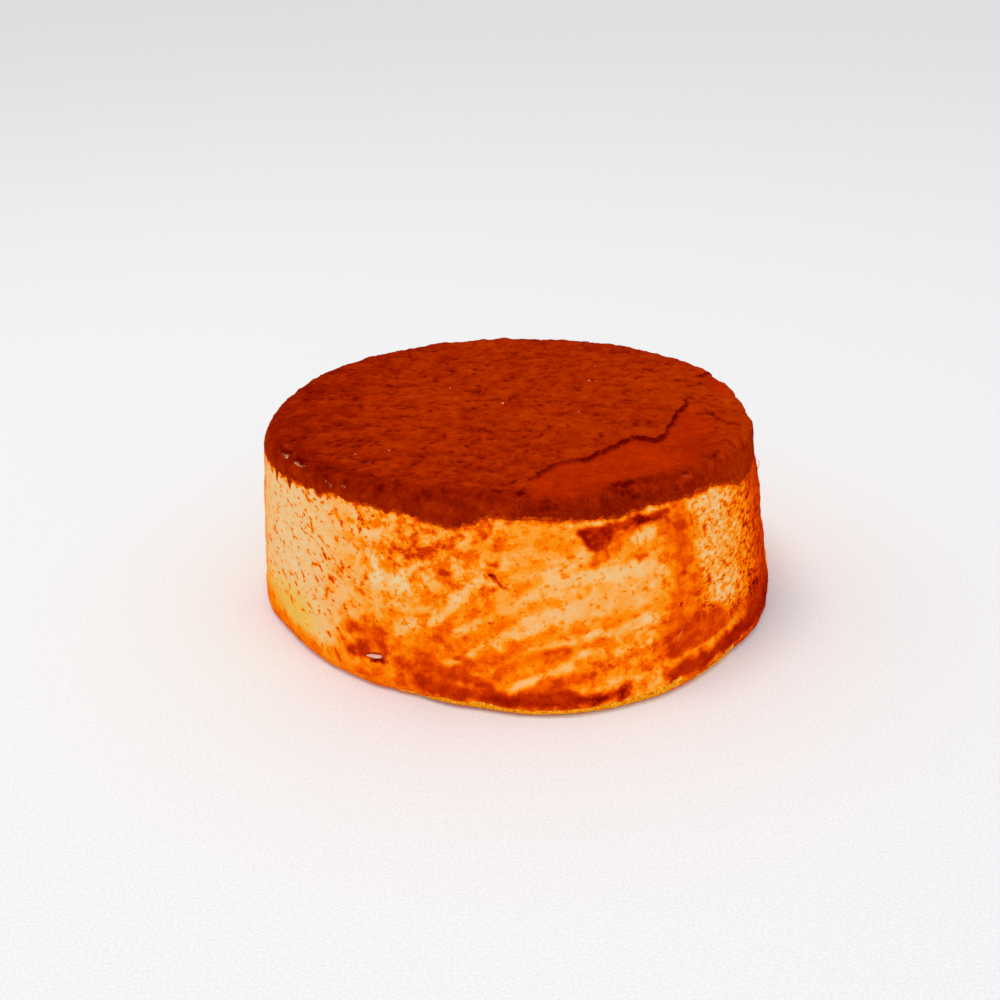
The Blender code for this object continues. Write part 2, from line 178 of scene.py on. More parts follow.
STREAKS = (
    # pale bands that a finger has wiped clean, and the cocoa between them
    (-122, 20, -116.5, 19.5, 1.8, 0.15), (-117, 12, -113, 13.5, 1.2, 0.20),
    (-112, 15.5, -104.5, 20.5, 1.3, 0.52), (-109, 13.8, -99, 22.0, 0.9, 0.21),
    (-112, 9.0, -102, 15.5, 1.4, 0.60), (-102, 15.5, -95, 19.8, 1.3, 0.50),
    (-103, 12.5, -99, 14.8, 0.9, 0.23), (-109, 8.0, -97, 13.5, 1.1, 0.55),
    (-97, 13.0, -90, 16.5, 1.0, 0.50), (-101, 9.0, -94, 11.8, 0.9, 0.25),
    (-94, 11.8, -87, 15.2, 0.9, 0.23), (-87, 15.2, -78, 17.0, 1.1, 0.20),
    (-106, 7.4, -103, 7.9, 0.5, 0.30), (-104, 5.6, -94, 10.8, 1.1, 0.64),
    (-94, 10.8, -84, 13.8, 0.9, 0.52), (-99, 5.5, -92, 8.2, 0.7, 0.36),
    (-92, 8.2, -86, 10.8, 0.8, 0.31), (-86, 10.8, -80, 11.6, 0.7, 0.29),
    (-97, 5.4, -88, 9.3, 0.9, 0.64), (-88, 9.3, -81, 10.2, 0.8, 0.64),
    (-94, 2.9, -90, 5.0, 0.6, 0.29), (-90, 5.0, -86, 6.8, 0.7, 0.20),
    (-84, 7.2, -77, 9.4, 0.8, 0.24), (-90, 3.6, -84, 6.2, 0.7, 0.70),
    (-84, 5.6, -74, 7.6, 1.1, 0.66), (-78, 4.2, -71, 4.9, 0.5, 0.36),
    (-71, 4.9, -66, 4.0, 0.5, 0.38), (-91, 20.4, -77, 23.4, 0.7, 0.44),
    (-87, 17.6, -76, 19.5, 0.8, 0.40), (-90, 25.6, -78, 28.2, 0.8, 0.40),
    (-82.5, 24.0, -76, 25.2, 0.8, 0.24), (-84, 21.6, -62, 21.8, 1.1, 0.17),
    (-66, 18.6, -60.5, 18.4, 2.4, 0.26), (-74, 23.4, -67, 23.6, 0.8, 0.38),
    (-75, 24.0, -69, 25.6, 0.8, 0.66), (-70, 26.2, -65, 28.2, 0.9, 0.60),
    (-66, 24.2, -58, 25.4, 0.9, 0.47), (-64.5, 26.2, -60.5, 27.2, 0.8, 0.18),
    (-79, 14.0, -63, 14.4, 0.9, 0.42), (-76, 12.4, -61.5, 12.6, 0.9, 0.21),
    (-76, 10.6, -63, 10.8, 0.8, 0.41), (-72, 9.2, -64, 9.5, 0.7, 0.31),
    (-79, 8.0, -69, 7.7, 0.8, 0.52), (-78, 13.6, -74, 13.3, 0.6, 0.50),
    (-78, 30.0, -72, 29.7, 0.45, 0.20), (-71, 30.0, -67.5, 29.9, 0.3, 0.23),
    (-64, 30.6, -56.5, 30.1, 0.45, 0.20), (-50, 27.8, -49, 29.4, 0.6, 0.28),
    (-47, 27.5, -39, 27.8, 1.4, 0.22), (-47, 22.0, -40, 21.5, 1.6, 0.27),
    (-42.5, 11.6, -37.5, 11.0, 0.9, 0.24), (-40, 7.0, -32, 7.2, 1.5, 0.64),
    (-50, 15.0, -46.5, 15.2, 1.0, 0.63), (-122, 24.6, -118.6, 23.4, 1.1, 0.30),
    (-118, 15.6, -109.5, 16.0, 0.8, 0.31), (-117.5, 24.8, -111, 25.3, 0.8, 0.66),
    (-98.5, 28.6, -94.8, 23.4, 1.2, 0.56), (-97.5, 11.3, -94.5, 11.2, 0.6, 0.30),
    (-105, 8.9, -101.5, 8.5, 0.7, 0.68), (-94, 17.4, -90.5, 17.2, 0.7, 0.25),
    # the dark foot, and the thin ridges above it
    (-127, 1.8, -113, 2.4, 1.3, 0.60), (-116, 5.0, -106, 4.0, 2.0, 0.70),
    (-111, 7.4, -106, 6.0, 1.4, 0.72), (-112, 2.8, -94, 2.7, 1.1, 0.82),
    (-104, 6.0, -96, 4.2, 0.9, 0.76), (-95, 2.5, -67, 2.8, 1.0, 0.90),
    (-88, 3.4, -82, 3.5, 0.9, 0.84), (-67, 2.4, -60, 3.6, 1.2, 0.42),
    (-59, 2.9, -40, 2.9, 1.3, 0.86), (-58, 7.7, -43, 7.5, 2.3, 0.74),
    (-62, 5.0, -46, 5.2, 0.35, 0.48), (-46, 5.0, -37, 5.6, 0.4, 0.44),
    (-40, 3.0, -8, 3.0, 1.6, 0.91),
)
MARKS = (
    # dark marks: the blot round the slit, the lump and its smear, the gouge and single grains
    (-130.6, 5.0, -123.0, 9.0, 1.1, 0.78), (-131.0, 5.0, -121.0, 5.6, 0.6, 0.80),
    (-123.5, 8.6, -121.5, 7.6, 1.4, 0.72), (-130.0, 9.4, -122.0, 10.0, 1.2, 0.70),
    (-126.0, 12.0, -124.0, 12.6, 0.7, 0.58), (-124.8, 4.8, -121.2, 5.2, 0.35, 0.92),
    (-121.2, 5.2, -120.8, 6.6, 0.25, 0.86), (-76.6, 28.7, -70.4, 28.7, 0.7, 0.90),
    (-75.6, 27.9, -71.4, 28.0, 0.9, 0.89), (-75.0, 26.9, -71.3, 26.9, 0.95, 0.88),
    (-74.4, 25.9, -71.6, 26.0, 0.5, 0.82), (-73.0, 25.0, -71.8, 24.6, 0.6, 0.60),
    (-70.4, 28.8, -64.0, 29.2, 0.9, 0.86), (-63.9, 29.1, -56.6, 29.1, 0.75, 0.93),
    (-57.2, 28.6, -56.2, 27.8, 0.4, 0.76), (-67.0, 30.15, -61.5, 30.4, 0.28, 0.40),
    (-71.4, 25.6, -71.2, 24.4, 0.25, 0.76), (-96.0, 22.8, -95.0, 21.8, 0.30, 0.88),
    (-95.0, 21.8, -93.8, 20.7, 0.20, 0.84), (-93.8, 20.7, -91.0, 20.4, 0.16, 0.72),
    (-95.8, 20.4, -95.0, 20.5, 0.35, 0.74), (-95.3, 24.4, -94.6, 24.2, 0.3, 0.76),
    (-96.6, 14.8, -96.3, 14.8, 0.25, 0.84), (-54.0, 26.4, -52.6, 26.4, 0.8, 0.74),
    (-53.4, 18.5, -53.0, 18.5, 0.4, 0.80), (-64.0, 23.2, -62.4, 23.4, 0.5, 0.66),
    (-72.3, 6.8, -71.8, 6.8, 0.35, 0.84), (-61.2, 6.2, -60.9, 6.2, 0.25, 0.86),
    (-54.9, 13.5, -54.4, 13.75, 0.16, 1.0), (-47.5, 10.4, -44.0, 10.0, 0.9, 0.70),
    (-77.8, 18.8, -77.4, 18.7, 0.35, 0.60), (-79.6, 25.1, -78.6, 25.2, 0.4, 0.66),
    (-63.3, 18.1, -62.9, 18.0, 0.35, 0.62), (-58.5, 18.2, -58.3, 18.4, 0.4, 0.62),
    (-106.8, 22.7, -105.4, 22.5, 0.45, 0.64), (-107.4, 26.9, -106.4, 26.9, 0.4, 0.70),
    (-112.5, 26.4, -108.5, 25.8, 0.8, 0.60), (-119.0, 26.6, -118.4, 26.2, 0.45, 0.66),
    (-103.0, 11.0, -102.4, 10.0, 0.5, 0.64), (-107.4, 11.4, -107.0, 11.8, 0.7, 0.66),
    # flecks that stand out on the clean left side
    (-142.6, 29.8, -142.0, 29.0, 0.35, 0.66), (-133.2, 29.4, -132.6, 28.4, 0.45, 0.50),
    (-129.4, 28.4, -127.8, 28.2, 0.30, 0.58), (-141.4, 25.2, -141.0, 24.0, 0.30, 0.64),
    (-138.4, 23.6, -137.6, 22.8, 0.26, 0.62), (-133.6, 24.4, -132.8, 24.0, 0.30, 0.62),
    (-128.4, 24.3, -127.0, 23.9, 0.35, 0.58), (-137.7, 20.7, -137.2, 20.3, 0.34, 0.80),
    (-133.2, 19.3, -132.2, 18.9, 0.40, 0.64), (-136.2, 17.0, -135.4, 16.6, 0.36, 0.84),
    (-138.2, 13.2, -136.6, 15.0, 0.38, 0.64), (-141.2, 15.6, -140.6, 15.2, 0.36, 0.74),
    (-146.8, 15.2, -146.0, 14.6, 0.32, 0.72), (-156.0, 12.2, -154.4, 11.6, 0.26, 0.64),
    (-152.5, 8.8, -152.0, 8.1, 0.34, 0.64), (-144.8, 9.7, -144.0, 9.2, 0.36, 0.58),
    (-138.2, 6.4, -137.4, 6.1, 0.30, 0.70), (-135.6, 4.0, -134.6, 2.8, 0.40, 0.68),
    (-133.3, 6.8, -132.9, 6.6, 0.30, 0.72), (-124.4, 21.6, -123.4, 21.0, 0.60, 0.54),
    (-128.2, 16.6, -126.6, 16.4, 0.50, 0.58), (-125.4, 25.6, -124.8, 19.4, 0.35, 0.40),
)
SLIT = (-125.7, 5.1, -122.1, 5.9)
SLIT_DEPTH = 0.45
LUMP = (-75.0, 27.3, -72.4, 27.3)
LUMP_HEIGHT = 0.35
LUMP_SMEAR = (-64.5, 29.1, -59.0, 29.1)
LUMP_SMEAR_HEIGHT = 0.30
GOUGE = ((-95.8, 22.6, -94.6, 21.2), (-94.6, 21.2, -92.6, 20.4))
GOUGE_DEPTH = 0.4
# Thin things on the cream, each a path of (degrees, height, how proud it stands, share of its radius).
SLIVER = (
    (-126.2, 5.2, 0.10, 0.35), (-125.0, 5.35, 0.2, 0.8), (-123.4, 5.6, 0.2, 1.0),
    (-121.9, 5.8, 0.15, 0.6),
)
HAIR = (
    (-55.0, 9.2, 0.05, 0.7), (-55.9, 9.0, 0.20, 1), (-56.3, 8.5, 0.20, 1), (-56.2, 7.9, 0.05, 0.7),
)
RIM_FIBRE = (
    (-6.0, 22.4, 0.0, 1), (-5.0, 23.0, 0.8, 1), (-4.4, 23.8, 0.4, 0.7),
)

# How stained the cream is before anything is smeared on it: (degrees, cocoa). The lines at -178 and -171 also
# paint the shade at the side's left edge as cocoa.
CREAM_STAIN_AND_SHADE = (
    (-178, 0.28), (-171, 0.30), (-165, 0.15), (-150, 0.11), (-138, 0.15), (-126, 0.28),
    (-112, 0.31), (-96, 0.31), (-84, 0.27), (-66, 0.23), (-56, 0.30), (-49, 0.26), (-43, 0.25),
    (-38, 0.31), (-33, 0.42), (-28, 0.58), (-23, 0.71), (-14, 0.78), (2, 0.80), (16, 0.56),
    (30, 0.30), (60, 0.20), (100, 0.26), (140, 0.20),
)

# How thick the fine cocoa grains lie round the side: (degrees, share).
GRAIN_COVER = (
    (-176, 0.34), (-160, 0.28), (-142, 0.25), (-126, 0.30), (-110, 0.38), (-92, 0.30), (-66, 0.24),
    (-55, 0.34), (-46, 0.40), (-36, 0.42), (-26, 0.42), (-12, 0.40), (14, 0.40), (60, 0.28),
    (100, 0.38), (140, 0.26),
)

# How steeply the smears rise to the right: (degrees, slope).
SMEAR_RISE = (
    (-172, -0.6), (-150, -0.9), (-136, -0.8), (-126, -0.1), (-118, 0.8), (-100, 0.6), (-84, 0.35),
    (-60, 0.15), (-46, -0.2), (-24, -0.3), (0, 0.1), (60, 0.2), (110, 0.1), (150, -0.1),
)

# The pale golden line of sponge along the foot: strokes as above, without the cocoa.
GOLDEN_LINE = (
    (-117, 0.7, -110, 0.8, 0.24), (-110, 0.8, -100, 1.0, 0.42), (-100, 1.0, -90, 0.8, 0.56),
    (-90, 0.8, -80, 0.7, 0.52), (-80, 0.7, -70, 0.8, 0.66), (-70, 0.8, -61, 1.1, 0.80),
    (-61, 1.1, -57, 1.7, 0.50), (-52.0, 0.4, -46, 0.6, 0.55), (-46, 0.6, -39, 0.9, 0.65),
    (-6, 0.7, 6, 0.8, 0.28), (6, 0.8, 22, 0.9, 0.50), (22, 0.9, 47, 0.7, 0.46),
    (47, 0.7, 61, 1.0, 0.28), (61, 1.0, 82, 0.8, 0.50), (82, 0.8, 88, 0.8, 0.32),
    (88, 0.8, 127, 1.0, 0.48), (127, 1.0, 139, 0.9, 0.28), (139, 0.9, 158, 0.8, 0.44),
    (158, 0.8, 174, 0.7, 0.26),
)

# How stained the foot is where it isn't golden: (degrees, cocoa).
FOOT_STAIN = (
    (-178, 0.66), (-155, 0.62), (-135, 0.50), (-118, 0.56), (-106, 0.72), (-66, 0.74), (-58, 0.52),
    (-50, 0.78), (-16, 0.86), (30, 0.66), (90, 0.76), (140, 0.60),
)

# Strokes laid by chance on the side that the front view doesn't show.
BACK_WASHES = 22
BACK_STREAKS = 70
BACK_FOOT_STROKES = 16

# ---- loose grains -------------------------------------------------------------------------------
RIM_GRAINS, RIM_GRAIN_TONE = 800, 0.34
SIDE_GRAINS, SIDE_GRAIN_TONE = 200, 0.90
GRAIN_RADII = (0.08, 0.20)

# ---- stage and camera ---------------------------------------------------------------------------
FLOOR_HALF_M = 3.0
DAYLIGHT = 0.84
LIGHT_AIM_M = (0, 0, 0.02)
LIGHTS = (
    # soft round lights: a name, a place in metres, the size in metres and the power in watts
    ("key", (-0.14, 0.0, 0.62), 0.22, 0.85),
    ("front_fill", (0.02, -0.68, 0.30), 0.45, 0.5),
    ("right_fill", (0.56, -0.42, 0.30), 0.45, 0.12),
)
CAMERA_PLACE = (-2.6, -235.9, 125.3)
CAMERA_LENS = 52.58  # for a sensor 36 mm wide
CAMERA_TILT = 24.82  # degrees below level
CAMERA_ROLL = -1.83


# ---- helpers for numbers over a whole mesh ------------------------------------------------------
def ripple(points, wave, seed=0):
    """Smooth noise between about -1 and 1 at each point, with bumps about a wave across."""
    places = (points / wave + 17.3 * seed).reshape(-1, 3).tolist()
    values = np.fromiter((noise.noise(place) for place in places), float, len(places))
    return values.reshape(points.shape[:-1])


def layered(points, wave, layers, seed=0):
    """Noise with finer and weaker layers added to it."""
    return sum(ripple(points, wave / 2**layer, seed + layer) / 2**layer for layer in range(layers))


def ease(values, start, end):
    """0 up to start, 1 from end, and a smooth way between; start may be the larger."""
    share = np.clip((values - start) / (end - start), 0, 1)
    return share * share * (3 - 2 * share)


def round_the_side(table, degrees):
    """Values from a table of (degrees, value), straight between its lines, all the way round."""
    places, values = np.array(table, float).T
    return np.interp(degrees, places, values, period=360)


def degrees_of(points):
    """How far round the axis each point lies."""
    return np.degrees(np.arctan2(points[..., 1], points[..., 0]))


def turn_from(middle, degrees):
    """How far places lie from a middle, in degrees the shorter way round."""
    return (degrees - middle + 180) % 360 - 180


def beside(degrees, middle, reach, full):
    """0 beyond the reach on either side of a middle, 1 within full, and a smooth way between."""
    return ease(np.abs(turn_from(middle, degrees)), reach, full)


def nearest_on_line(x, y, start, end):
    """The place nearest to each place on a straight stretch."""
    along = np.array(end, float) - np.array(start, float)
    share = ((x - start[0]) * along[0] + (y - start[1]) * along[1]) / max(along @ along, 1e-9)
    share = np.clip(share, 0, 1)
    return start[0] + along[0] * share, start[1] + along[1] * share


def from_line(x, y, start, end):
    """The distance of each place from a straight stretch."""
    near_x, near_y = nearest_on_line(x, y, start, end)
    return np.hypot(x - near_x, y - near_y)


def from_path(x, y, path):
    """The distance of each place from a path of straight stretches."""
    return np.min([from_line(x, y, start, end) for start, end in zip(path, path[1:])], axis=0)


def from_segment(points, start, end):
    """The distance of each point in space from a straight stretch."""
    along = np.array(end, float) - np.array(start, float)
    share = np.clip((points - start) @ along / (along @ along), 0, 1)
    return np.linalg.norm(points - start - share[..., None] * along, axis=-1)


def from_path_in_space(points, path):
    return np.min([from_segment(points, start, end) for start, end in zip(path, path[1:])], axis=0)


def from_stroke(degrees, height, stroke):
    """The distance of each place on the side from a stroke (degrees, height, degrees, height)."""
    middle = (stroke[0] + stroke[2]) / 2
    right = turn_from(middle, degrees) * MM_PER_DEGREE
    reach = (stroke[2] - stroke[0]) / 2 * MM_PER_DEGREE
    return from_line(right, height, (-reach, stroke[1]), (reach, stroke[3]))


def inside(x, y, corners):
    """Whether each place lies inside a polygon."""
    crossings = np.zeros(x.shape, int)
    for (ax, ay), (bx, by) in zip(corners, corners[1:] + corners[:1]):
        if ay == by:
            continue
        spans = (ay > y) != (by > y)
        crossings += spans & (x < ax + (y - ay) * (bx - ax) / (by - ay))
    return crossings % 2 == 1


# ---- the shape of the cake ----------------------------------------------------------------------
def outline_radius(outline, angle):
    """How far out the cake's edge lies at each angle: a circle with an oval and three soft lobes."""
    oval = outline["oval"] * np.cos(2 * angle - math.radians(outline["oval_turn"]))
    lobes = outline["lobes"] * np.cos(3 * angle - math.radians(outline["lobes_turn"]))
    forward = np.minimum(1.0, (1 - np.sin(angle)) / LOBE_FADE)
    return outline["radius"] * (1 + oval + lobes * forward)


def settled(points):
    """Where points of the straight drum lie on the real cake."""
    x, y, z = points[..., 0], points[..., 1], points[..., 2]
    angle = np.arctan2(y, x)
    share = z / HEIGHT
    foot = outline_radius(FOOT_OUTLINE, angle)
    head = outline_radius(TOP_OUTLINE, angle)
    reach = (foot + (head - foot) * share + BELLY * np.sin(math.pi * share)) / TOP_RADIUS
    real_x = FOOT_MIDDLE[0] + (TOP_MIDDLE[0] - FOOT_MIDDLE[0]) * share + x * reach
    real_y = FOOT_MIDDLE[1] + (TOP_MIDDLE[1] - FOOT_MIDDLE[1]) * share + y * reach
    lean = share * (TOP_SLOPE[0] * real_x + TOP_SLOPE[1] * real_y)
    return np.stack([real_x, real_y, z + lean], axis=-1)


def lip_drop(angle, is_ragged=True):
    """How far the crust's lip lies below the top, with a ragged edge and a few drips."""
    degrees = np.degrees(angle)
    even = round_the_side(LIP_DROPS, degrees)
    if not is_ragged:
        return even
    rim = np.stack([np.cos(angle), np.sin(angle), 0 * angle], axis=-1) * TOP_RADIUS
    ragged = 0.45 * ripple(rim, 3.4, 1) + 0.40 * ripple(rim, 1.4, 2) + 0.16 * ripple(rim, 0.6, 3)
    drips = sum(drop * beside(degrees, middle, width, 0) for middle, drop, width in LIP_DRIPS)
    return np.maximum(even + ragged + drips, EDGE_RADIUS + 0.3)


def follow_lip(points, is_ragged=True):
    """Shifts the drum's points near the lip up or down, so that crust and cream share its line."""
    edge, lip = HEIGHT - EDGE_RADIUS, HEIGHT - LIP_DROP
    above = (edge - points[..., 2]) / (edge - lip)
    below = 1 - (lip - points[..., 2]) / LIP_FADE
    weight = np.clip(np.minimum(above, below), 0, 1)
    shift = lip_drop(np.arctan2(points[..., 1], points[..., 0]), is_ragged) - LIP_DROP
    moved = points.copy()
    moved[..., 2] -= shift * weight
    return moved


def bulge(degrees, height):
    """How far the side stands out beyond its plain shape."""
    bumps = sum(
        far * beside(degrees, middle, reach, 0.3 * reach)
        * ease(np.abs(height - level), half_height, 0.4 * half_height)
        for middle, reach, level, half_height, far in BULGES
    )
    return bumps + round_the_side(FOOT_BULGE, degrees) * ease(height, FOOT_FADE, 1.0)


def outward(points):
    """The level direction away from the axis at each point."""
    level = points * (1, 1, 0)
    return level / np.maximum(np.linalg.norm(level, axis=-1, keepdims=True), 1e-9)


# ---- meshes -------------------------------------------------------------------------------------
def turned(profile, angles):
    """Rows of drum points, one row for each (radius, height) of the profile."""
    radius, height = np.array(profile, float).T
    across = radius[:, None] * np.cos(angles)
    away = radius[:, None] * np.sin(angles)
    return np.stack([across, away, np.broadcast_to(height[:, None], across.shape)], axis=-1)


def row_faces(rows, columns, first=0):
    """Quads between neighbouring rows of a turned surface whose rows run downwards."""
    here = np.arange(columns)
    after = np.roll(here, -1)
    starts = first + np.arange(rows - 1)[:, None] * columns
    below = starts + columns
    quads = np.stack([starts + here, below + here, below + after, starts + after], axis=-1)
    return quads.reshape(-1, 4).tolist()


def placed(name, data):
    """A new object in the scene."""
    made = bpy.data.objects.new(name, data)
    bpy.context.scene.collection.objects.link(made)
    return made


def new_piece(name, points, faces, material, attributes):
    """An object from points in millimetres, with its numbers for each point."""
    mesh = bpy.data.meshes.new(name)
    mesh.from_pydata((points * MM).tolist(), [], faces)
    for attribute, values in attributes.items():
        is_vector = values.size > len(points)
        layer = mesh.attributes.new(attribute, "FLOAT_VECTOR" if is_vector else "FLOAT", "POINT")
        layer.data.foreach_set("vector" if is_vector else "value", values.astype(np.float32).ravel())
    mesh.shade_smooth()
    mesh.materials.append(material)
    return placed(name, mesh)


def turned_piece(name, points, material, attributes):
    """A closed piece from rows of points that run down the outside."""
    rows, columns = points.shape[:2]
    faces = row_faces(rows, columns)
    faces.append(list(range(columns)))
    faces.append(list(range(rows * columns - 1, (rows - 1) * columns - 1, -1)))
    return new_piece(name, points.reshape(-1, 3), faces, material, attributes)


# ---- materials ----------------------------------------------------------------------------------
def linear(red, green, blue):
    """A colour as a screen shows it, from 0 to 255, as the shader wants it."""
    shares = [part / 255 for part in (red, green, blue)]
    return tuple(part / 12.92 if part <= 0.04045 else ((part + 0.055) / 1.055) ** 2.4 for part in shares)


CREAM_TO_COCOA = (
    # the cream's colours under more and more cocoa
    (0.0, (238, 212, 162)),
    (0.08, (240, 203, 148)),
    (0.16, (244, 192, 126)),
    (0.24, (250, 180, 98)),
    (0.32, (254, 165, 64)),
    (0.40, (255, 150, 26)),
    (0.48, (255, 134, 4)),
    (0.56, (253, 113, 0)),
    (0.64, (243, 91, 0)),
    (0.72, (222, 68, 0)),
    (0.80, (200, 51, 0)),
    (0.88, (174, 34, 0)),
    (0.94, (150, 20, 0)),
    (1.0, (112, 8, 0)),
)
GOLDEN_CRUMBS = (
    # moist sponge with darker crumbs
    (0.3, (190, 70, 0)),
    (0.42, (234, 126, 0)),
    (0.55, (252, 168, 20)),
    (0.7, (255, 208, 92)),
)


class Shader:
    """A node-based material that is built one step at a time."""

    def __init__(self, name, roughness, gloss):
        self.material = bpy.data.materials.new(name)
        self.material.use_nodes = True
        self.tree = self.material.node_tree
        self.surface = self.tree.nodes["Principled BSDF"]
        self.surface.inputs["Roughness"].default_value = roughness
        self.surface.inputs["Specular IOR Level"].default_value = gloss

    def node(self, kind, links, **settings):
        """A node with its settings; links say what feeds each input, a number or another node."""
        made = self.tree.nodes.new(kind)
        for setting, value in settings.items():
            setattr(made, setting, value)
        for socket, source in links.items():
            if isinstance(source, bpy.types.NodeSocket):
                self.tree.links.new(source, made.inputs[socket])
            else:
                made.inputs[socket].default_value = source
        return made

    def attribute(self, name, output="Fac"):
        return self.node("ShaderNodeAttribute", {}, attribute_name=name).outputs[output]

    def noise(self, size_mm, detail=2.0, rough=0.55, place=None):
        place = place or self.node("ShaderNodeTexCoord", {}).outputs["Object"]
        links = {"Vector": place, "Scale": 1 / (size_mm * MM), "Detail": detail, "Roughness": rough}
        return self.node("ShaderNodeTexNoise", links).outputs["Fac"]

    def math(self, operation, first, second):
        return self.node("ShaderNodeMath", {0: first, 1: second}, operation=operation).outputs[0]

    def varied(self, value, noise_value, amount):
        """A value with a noise added to it that swings evenly to both sides."""
        swing = self.math("MULTIPLY", self.math("SUBTRACT", noise_value, 0.5), amount)
        return self.math("ADD", value, swing)

    def step(self, value, start, end):
        """0 up to start, 1 from end, and a smooth way between."""
        links = {"Value": value, "From Min": start, "From Max": end}
        return self.node("ShaderNodeMapRange", links, interpolation_type="SMOOTHSTEP").outputs["Result"]

    def ramp(self, value, stops):
        made = self.node("ShaderNodeValToRGB", {"Fac": value})
        colours = made.color_ramp.elements
        while len(colours) < len(stops):
            colours.new(0.5)
        for colour, (place, shade) in zip(colours, stops):
            colour.position = place
            colour.color = (*linear(*shade), 1)
        return made.outputs["Color"]

    def blend(self, share, first, second, mode="MIX"):
        made = self.node("ShaderNodeMix", {0: share, 6: first, 7: second}, data_type="RGBA", blend_type=mode)
        return made.outputs[2]

    def finish(self, colour, height, depth_mm):
        bump = self.node("ShaderNodeBump", {"Height": height, "Strength": 1.0, "Distance": depth_mm * MM})
        self.tree.links.new(colour, self.surface.inputs["Base Color"])
        self.tree.links.new(bump.outputs["Normal"], self.surface.inputs["Normal"])
        return self.material


def golden_crumbs(shader):
    """The sponge's crumbs, and how much of its golden line shows."""
    crumbs = shader.noise(0.4, 3.0, 0.7)
    return crumbs, shader.step(shader.varied(shader.attribute("golden"), crumbs, 1.4), 0.35, 0.65)


def cocoa_material():
    """Dry cocoa: its tone runs from painted shade in the pits to painted light on the crests, and it is
    redder where it is pressed smooth.
    """
    shader = Shader("cocoa_powder", 0.95, 0.0)
    powder = shader.noise(0.4, 3.0, 0.6)
    lumps = shader.noise(1.3)
    tone = shader.varied(shader.attribute("tone"), powder, 0.50)
    pressed = shader.attribute("pressed")
    evenness = shader.math("SUBTRACT", 0.45, shader.math("MULTIPLY", pressed, 0.12))
    tone = shader.varied(tone, lumps, evenness)
    craggy = shader.ramp(
        tone,
        (
            (0.0, (104, 5, 0)),
            (0.3, (142, 26, 0)),
            (0.5, (167, 41, 0)),
            (0.7, (180, 54, 0)),
            (1.0, (198, 76, 8)),
        ),
    )
    smooth = shader.ramp(
        tone,
        (
            (0.0, (118, 12, 0)),
            (0.35, (164, 34, 0)),
            (0.6, (190, 47, 0)),
            (1.0, (208, 62, 0)),
        ),
    )
    shade = shader.blend(pressed, craggy, smooth)
    specks = shader.noise(0.8, 3.0, 0.6)
    fringe = shader.step(shader.varied(shader.attribute("fringe"), specks, 1.8), 0.3, 1.1)
    shade = shader.blend(fringe, shade, shader.ramp(specks, ((0.35, (160, 32, 0)), (0.65, (206, 72, 0)))))
    bare = shader.ramp(powder, ((0.35, (178, 98, 60)), (0.6, (216, 152, 112))))
    bareness = shader.step(shader.varied(shader.attribute("bare"), powder, 0.6), 0.2, 0.7)
    return shader.finish(shader.blend(bareness, shade, bare), powder, 0.10)


def cream_material():
    """Mascarpone under smears of cocoa, with fine grains of it on top."""
    shader = Shader("smeared_cream", 0.7, 0.0)
    flow = shader.attribute("flow", "Vector")
    clouds = shader.step(shader.noise(1.9, 3.0, 0.6, flow), 0.38, 0.62)
    blots = shader.noise(0.8, 1.5, 0.6, flow)
    fine = shader.noise(0.4, 2.0)
    thick = shader.math("MULTIPLY", shader.attribute("cover"), 0.25)
    grain = shader.step(shader.math("ADD", thick, blots), 0.62, 0.78)
    real_place = shader.node("ShaderNodeTexCoord", {}).outputs["Object"]
    wide = shader.node("ShaderNodeVectorMath", {0: real_place, 1: (0.7, 0.42, 1.0)}, operation="MULTIPLY")
    rough = shader.noise(0.65, 2.0, 0.6, wide.outputs[0])
    pale = shader.math("MULTIPLY", shader.step(rough, 0.50, 0.36), 0.45)
    specks = shader.math("SUBTRACT", shader.step(rough, 0.50, 0.66), pale)
    swing = shader.math("MULTIPLY", shader.math("SUBTRACT", clouds, 0.5), shader.attribute("unrest"))
    cocoa = shader.math("ADD", shader.attribute("cocoa"), swing)
    cocoa = shader.varied(cocoa, fine, 0.14)
    cocoa = shader.math("ADD", cocoa, shader.math("MULTIPLY", grain, shader.attribute("grain_depth")))
    cocoa = shader.math("ADD", cocoa, shader.math("MULTIPLY", specks, shader.attribute("speckle")))
    shade = shader.ramp(cocoa, CREAM_TO_COCOA)
    # painted glow: a yellow tint of light low on the left of the cream
    painted_glow = shader.blend(1.0, shade, (*linear(255, 245, 160), 1), "MULTIPLY")
    shade = shader.blend(shader.attribute("painted_glow"), shade, painted_glow)
    crumbs, golden = golden_crumbs(shader)
    shade = shader.blend(golden, shade, shader.ramp(crumbs, GOLDEN_CRUMBS))
    shader.surface.inputs["Subsurface Weight"].default_value = 0.1
    shader.surface.inputs["Subsurface Radius"].default_value = (1.0, 0.6, 0.3)
    shader.surface.inputs["Subsurface Scale"].default_value = 0.5 * MM
    return shader.finish(shade, shader.math("ADD", grain, fine), 0.06)


def sponge_material():
    """Moist sponge: golden with darker crumbs, and cocoa stains where it isn't."""
    shader = Shader("golden_sponge", 0.85, 0.0)
    crumbs, golden = golden_crumbs(shader)
    stained = shader.ramp(shader.varied(shader.attribute("cocoa"), crumbs, 0.8), CREAM_TO_COCOA)
    return shader.finish(shader.blend(golden, stained, shader.ramp(crumbs, GOLDEN_CRUMBS)), crumbs, 0.15)


def grain_material():
    """Single grains of cocoa, each of its own tone."""
    shader = Shader("cocoa_grains", 0.95, 0.0)
    tone = shader.varied(shader.attribute("tone"), shader.noise(0.3), 0.4)
    shade = shader.ramp(tone, ((0.0, (124, 20, 0)), (0.5, (156, 36, 0)), (1.0, (218, 86, 0))))
    return shader.finish(shade, tone, 0.02)


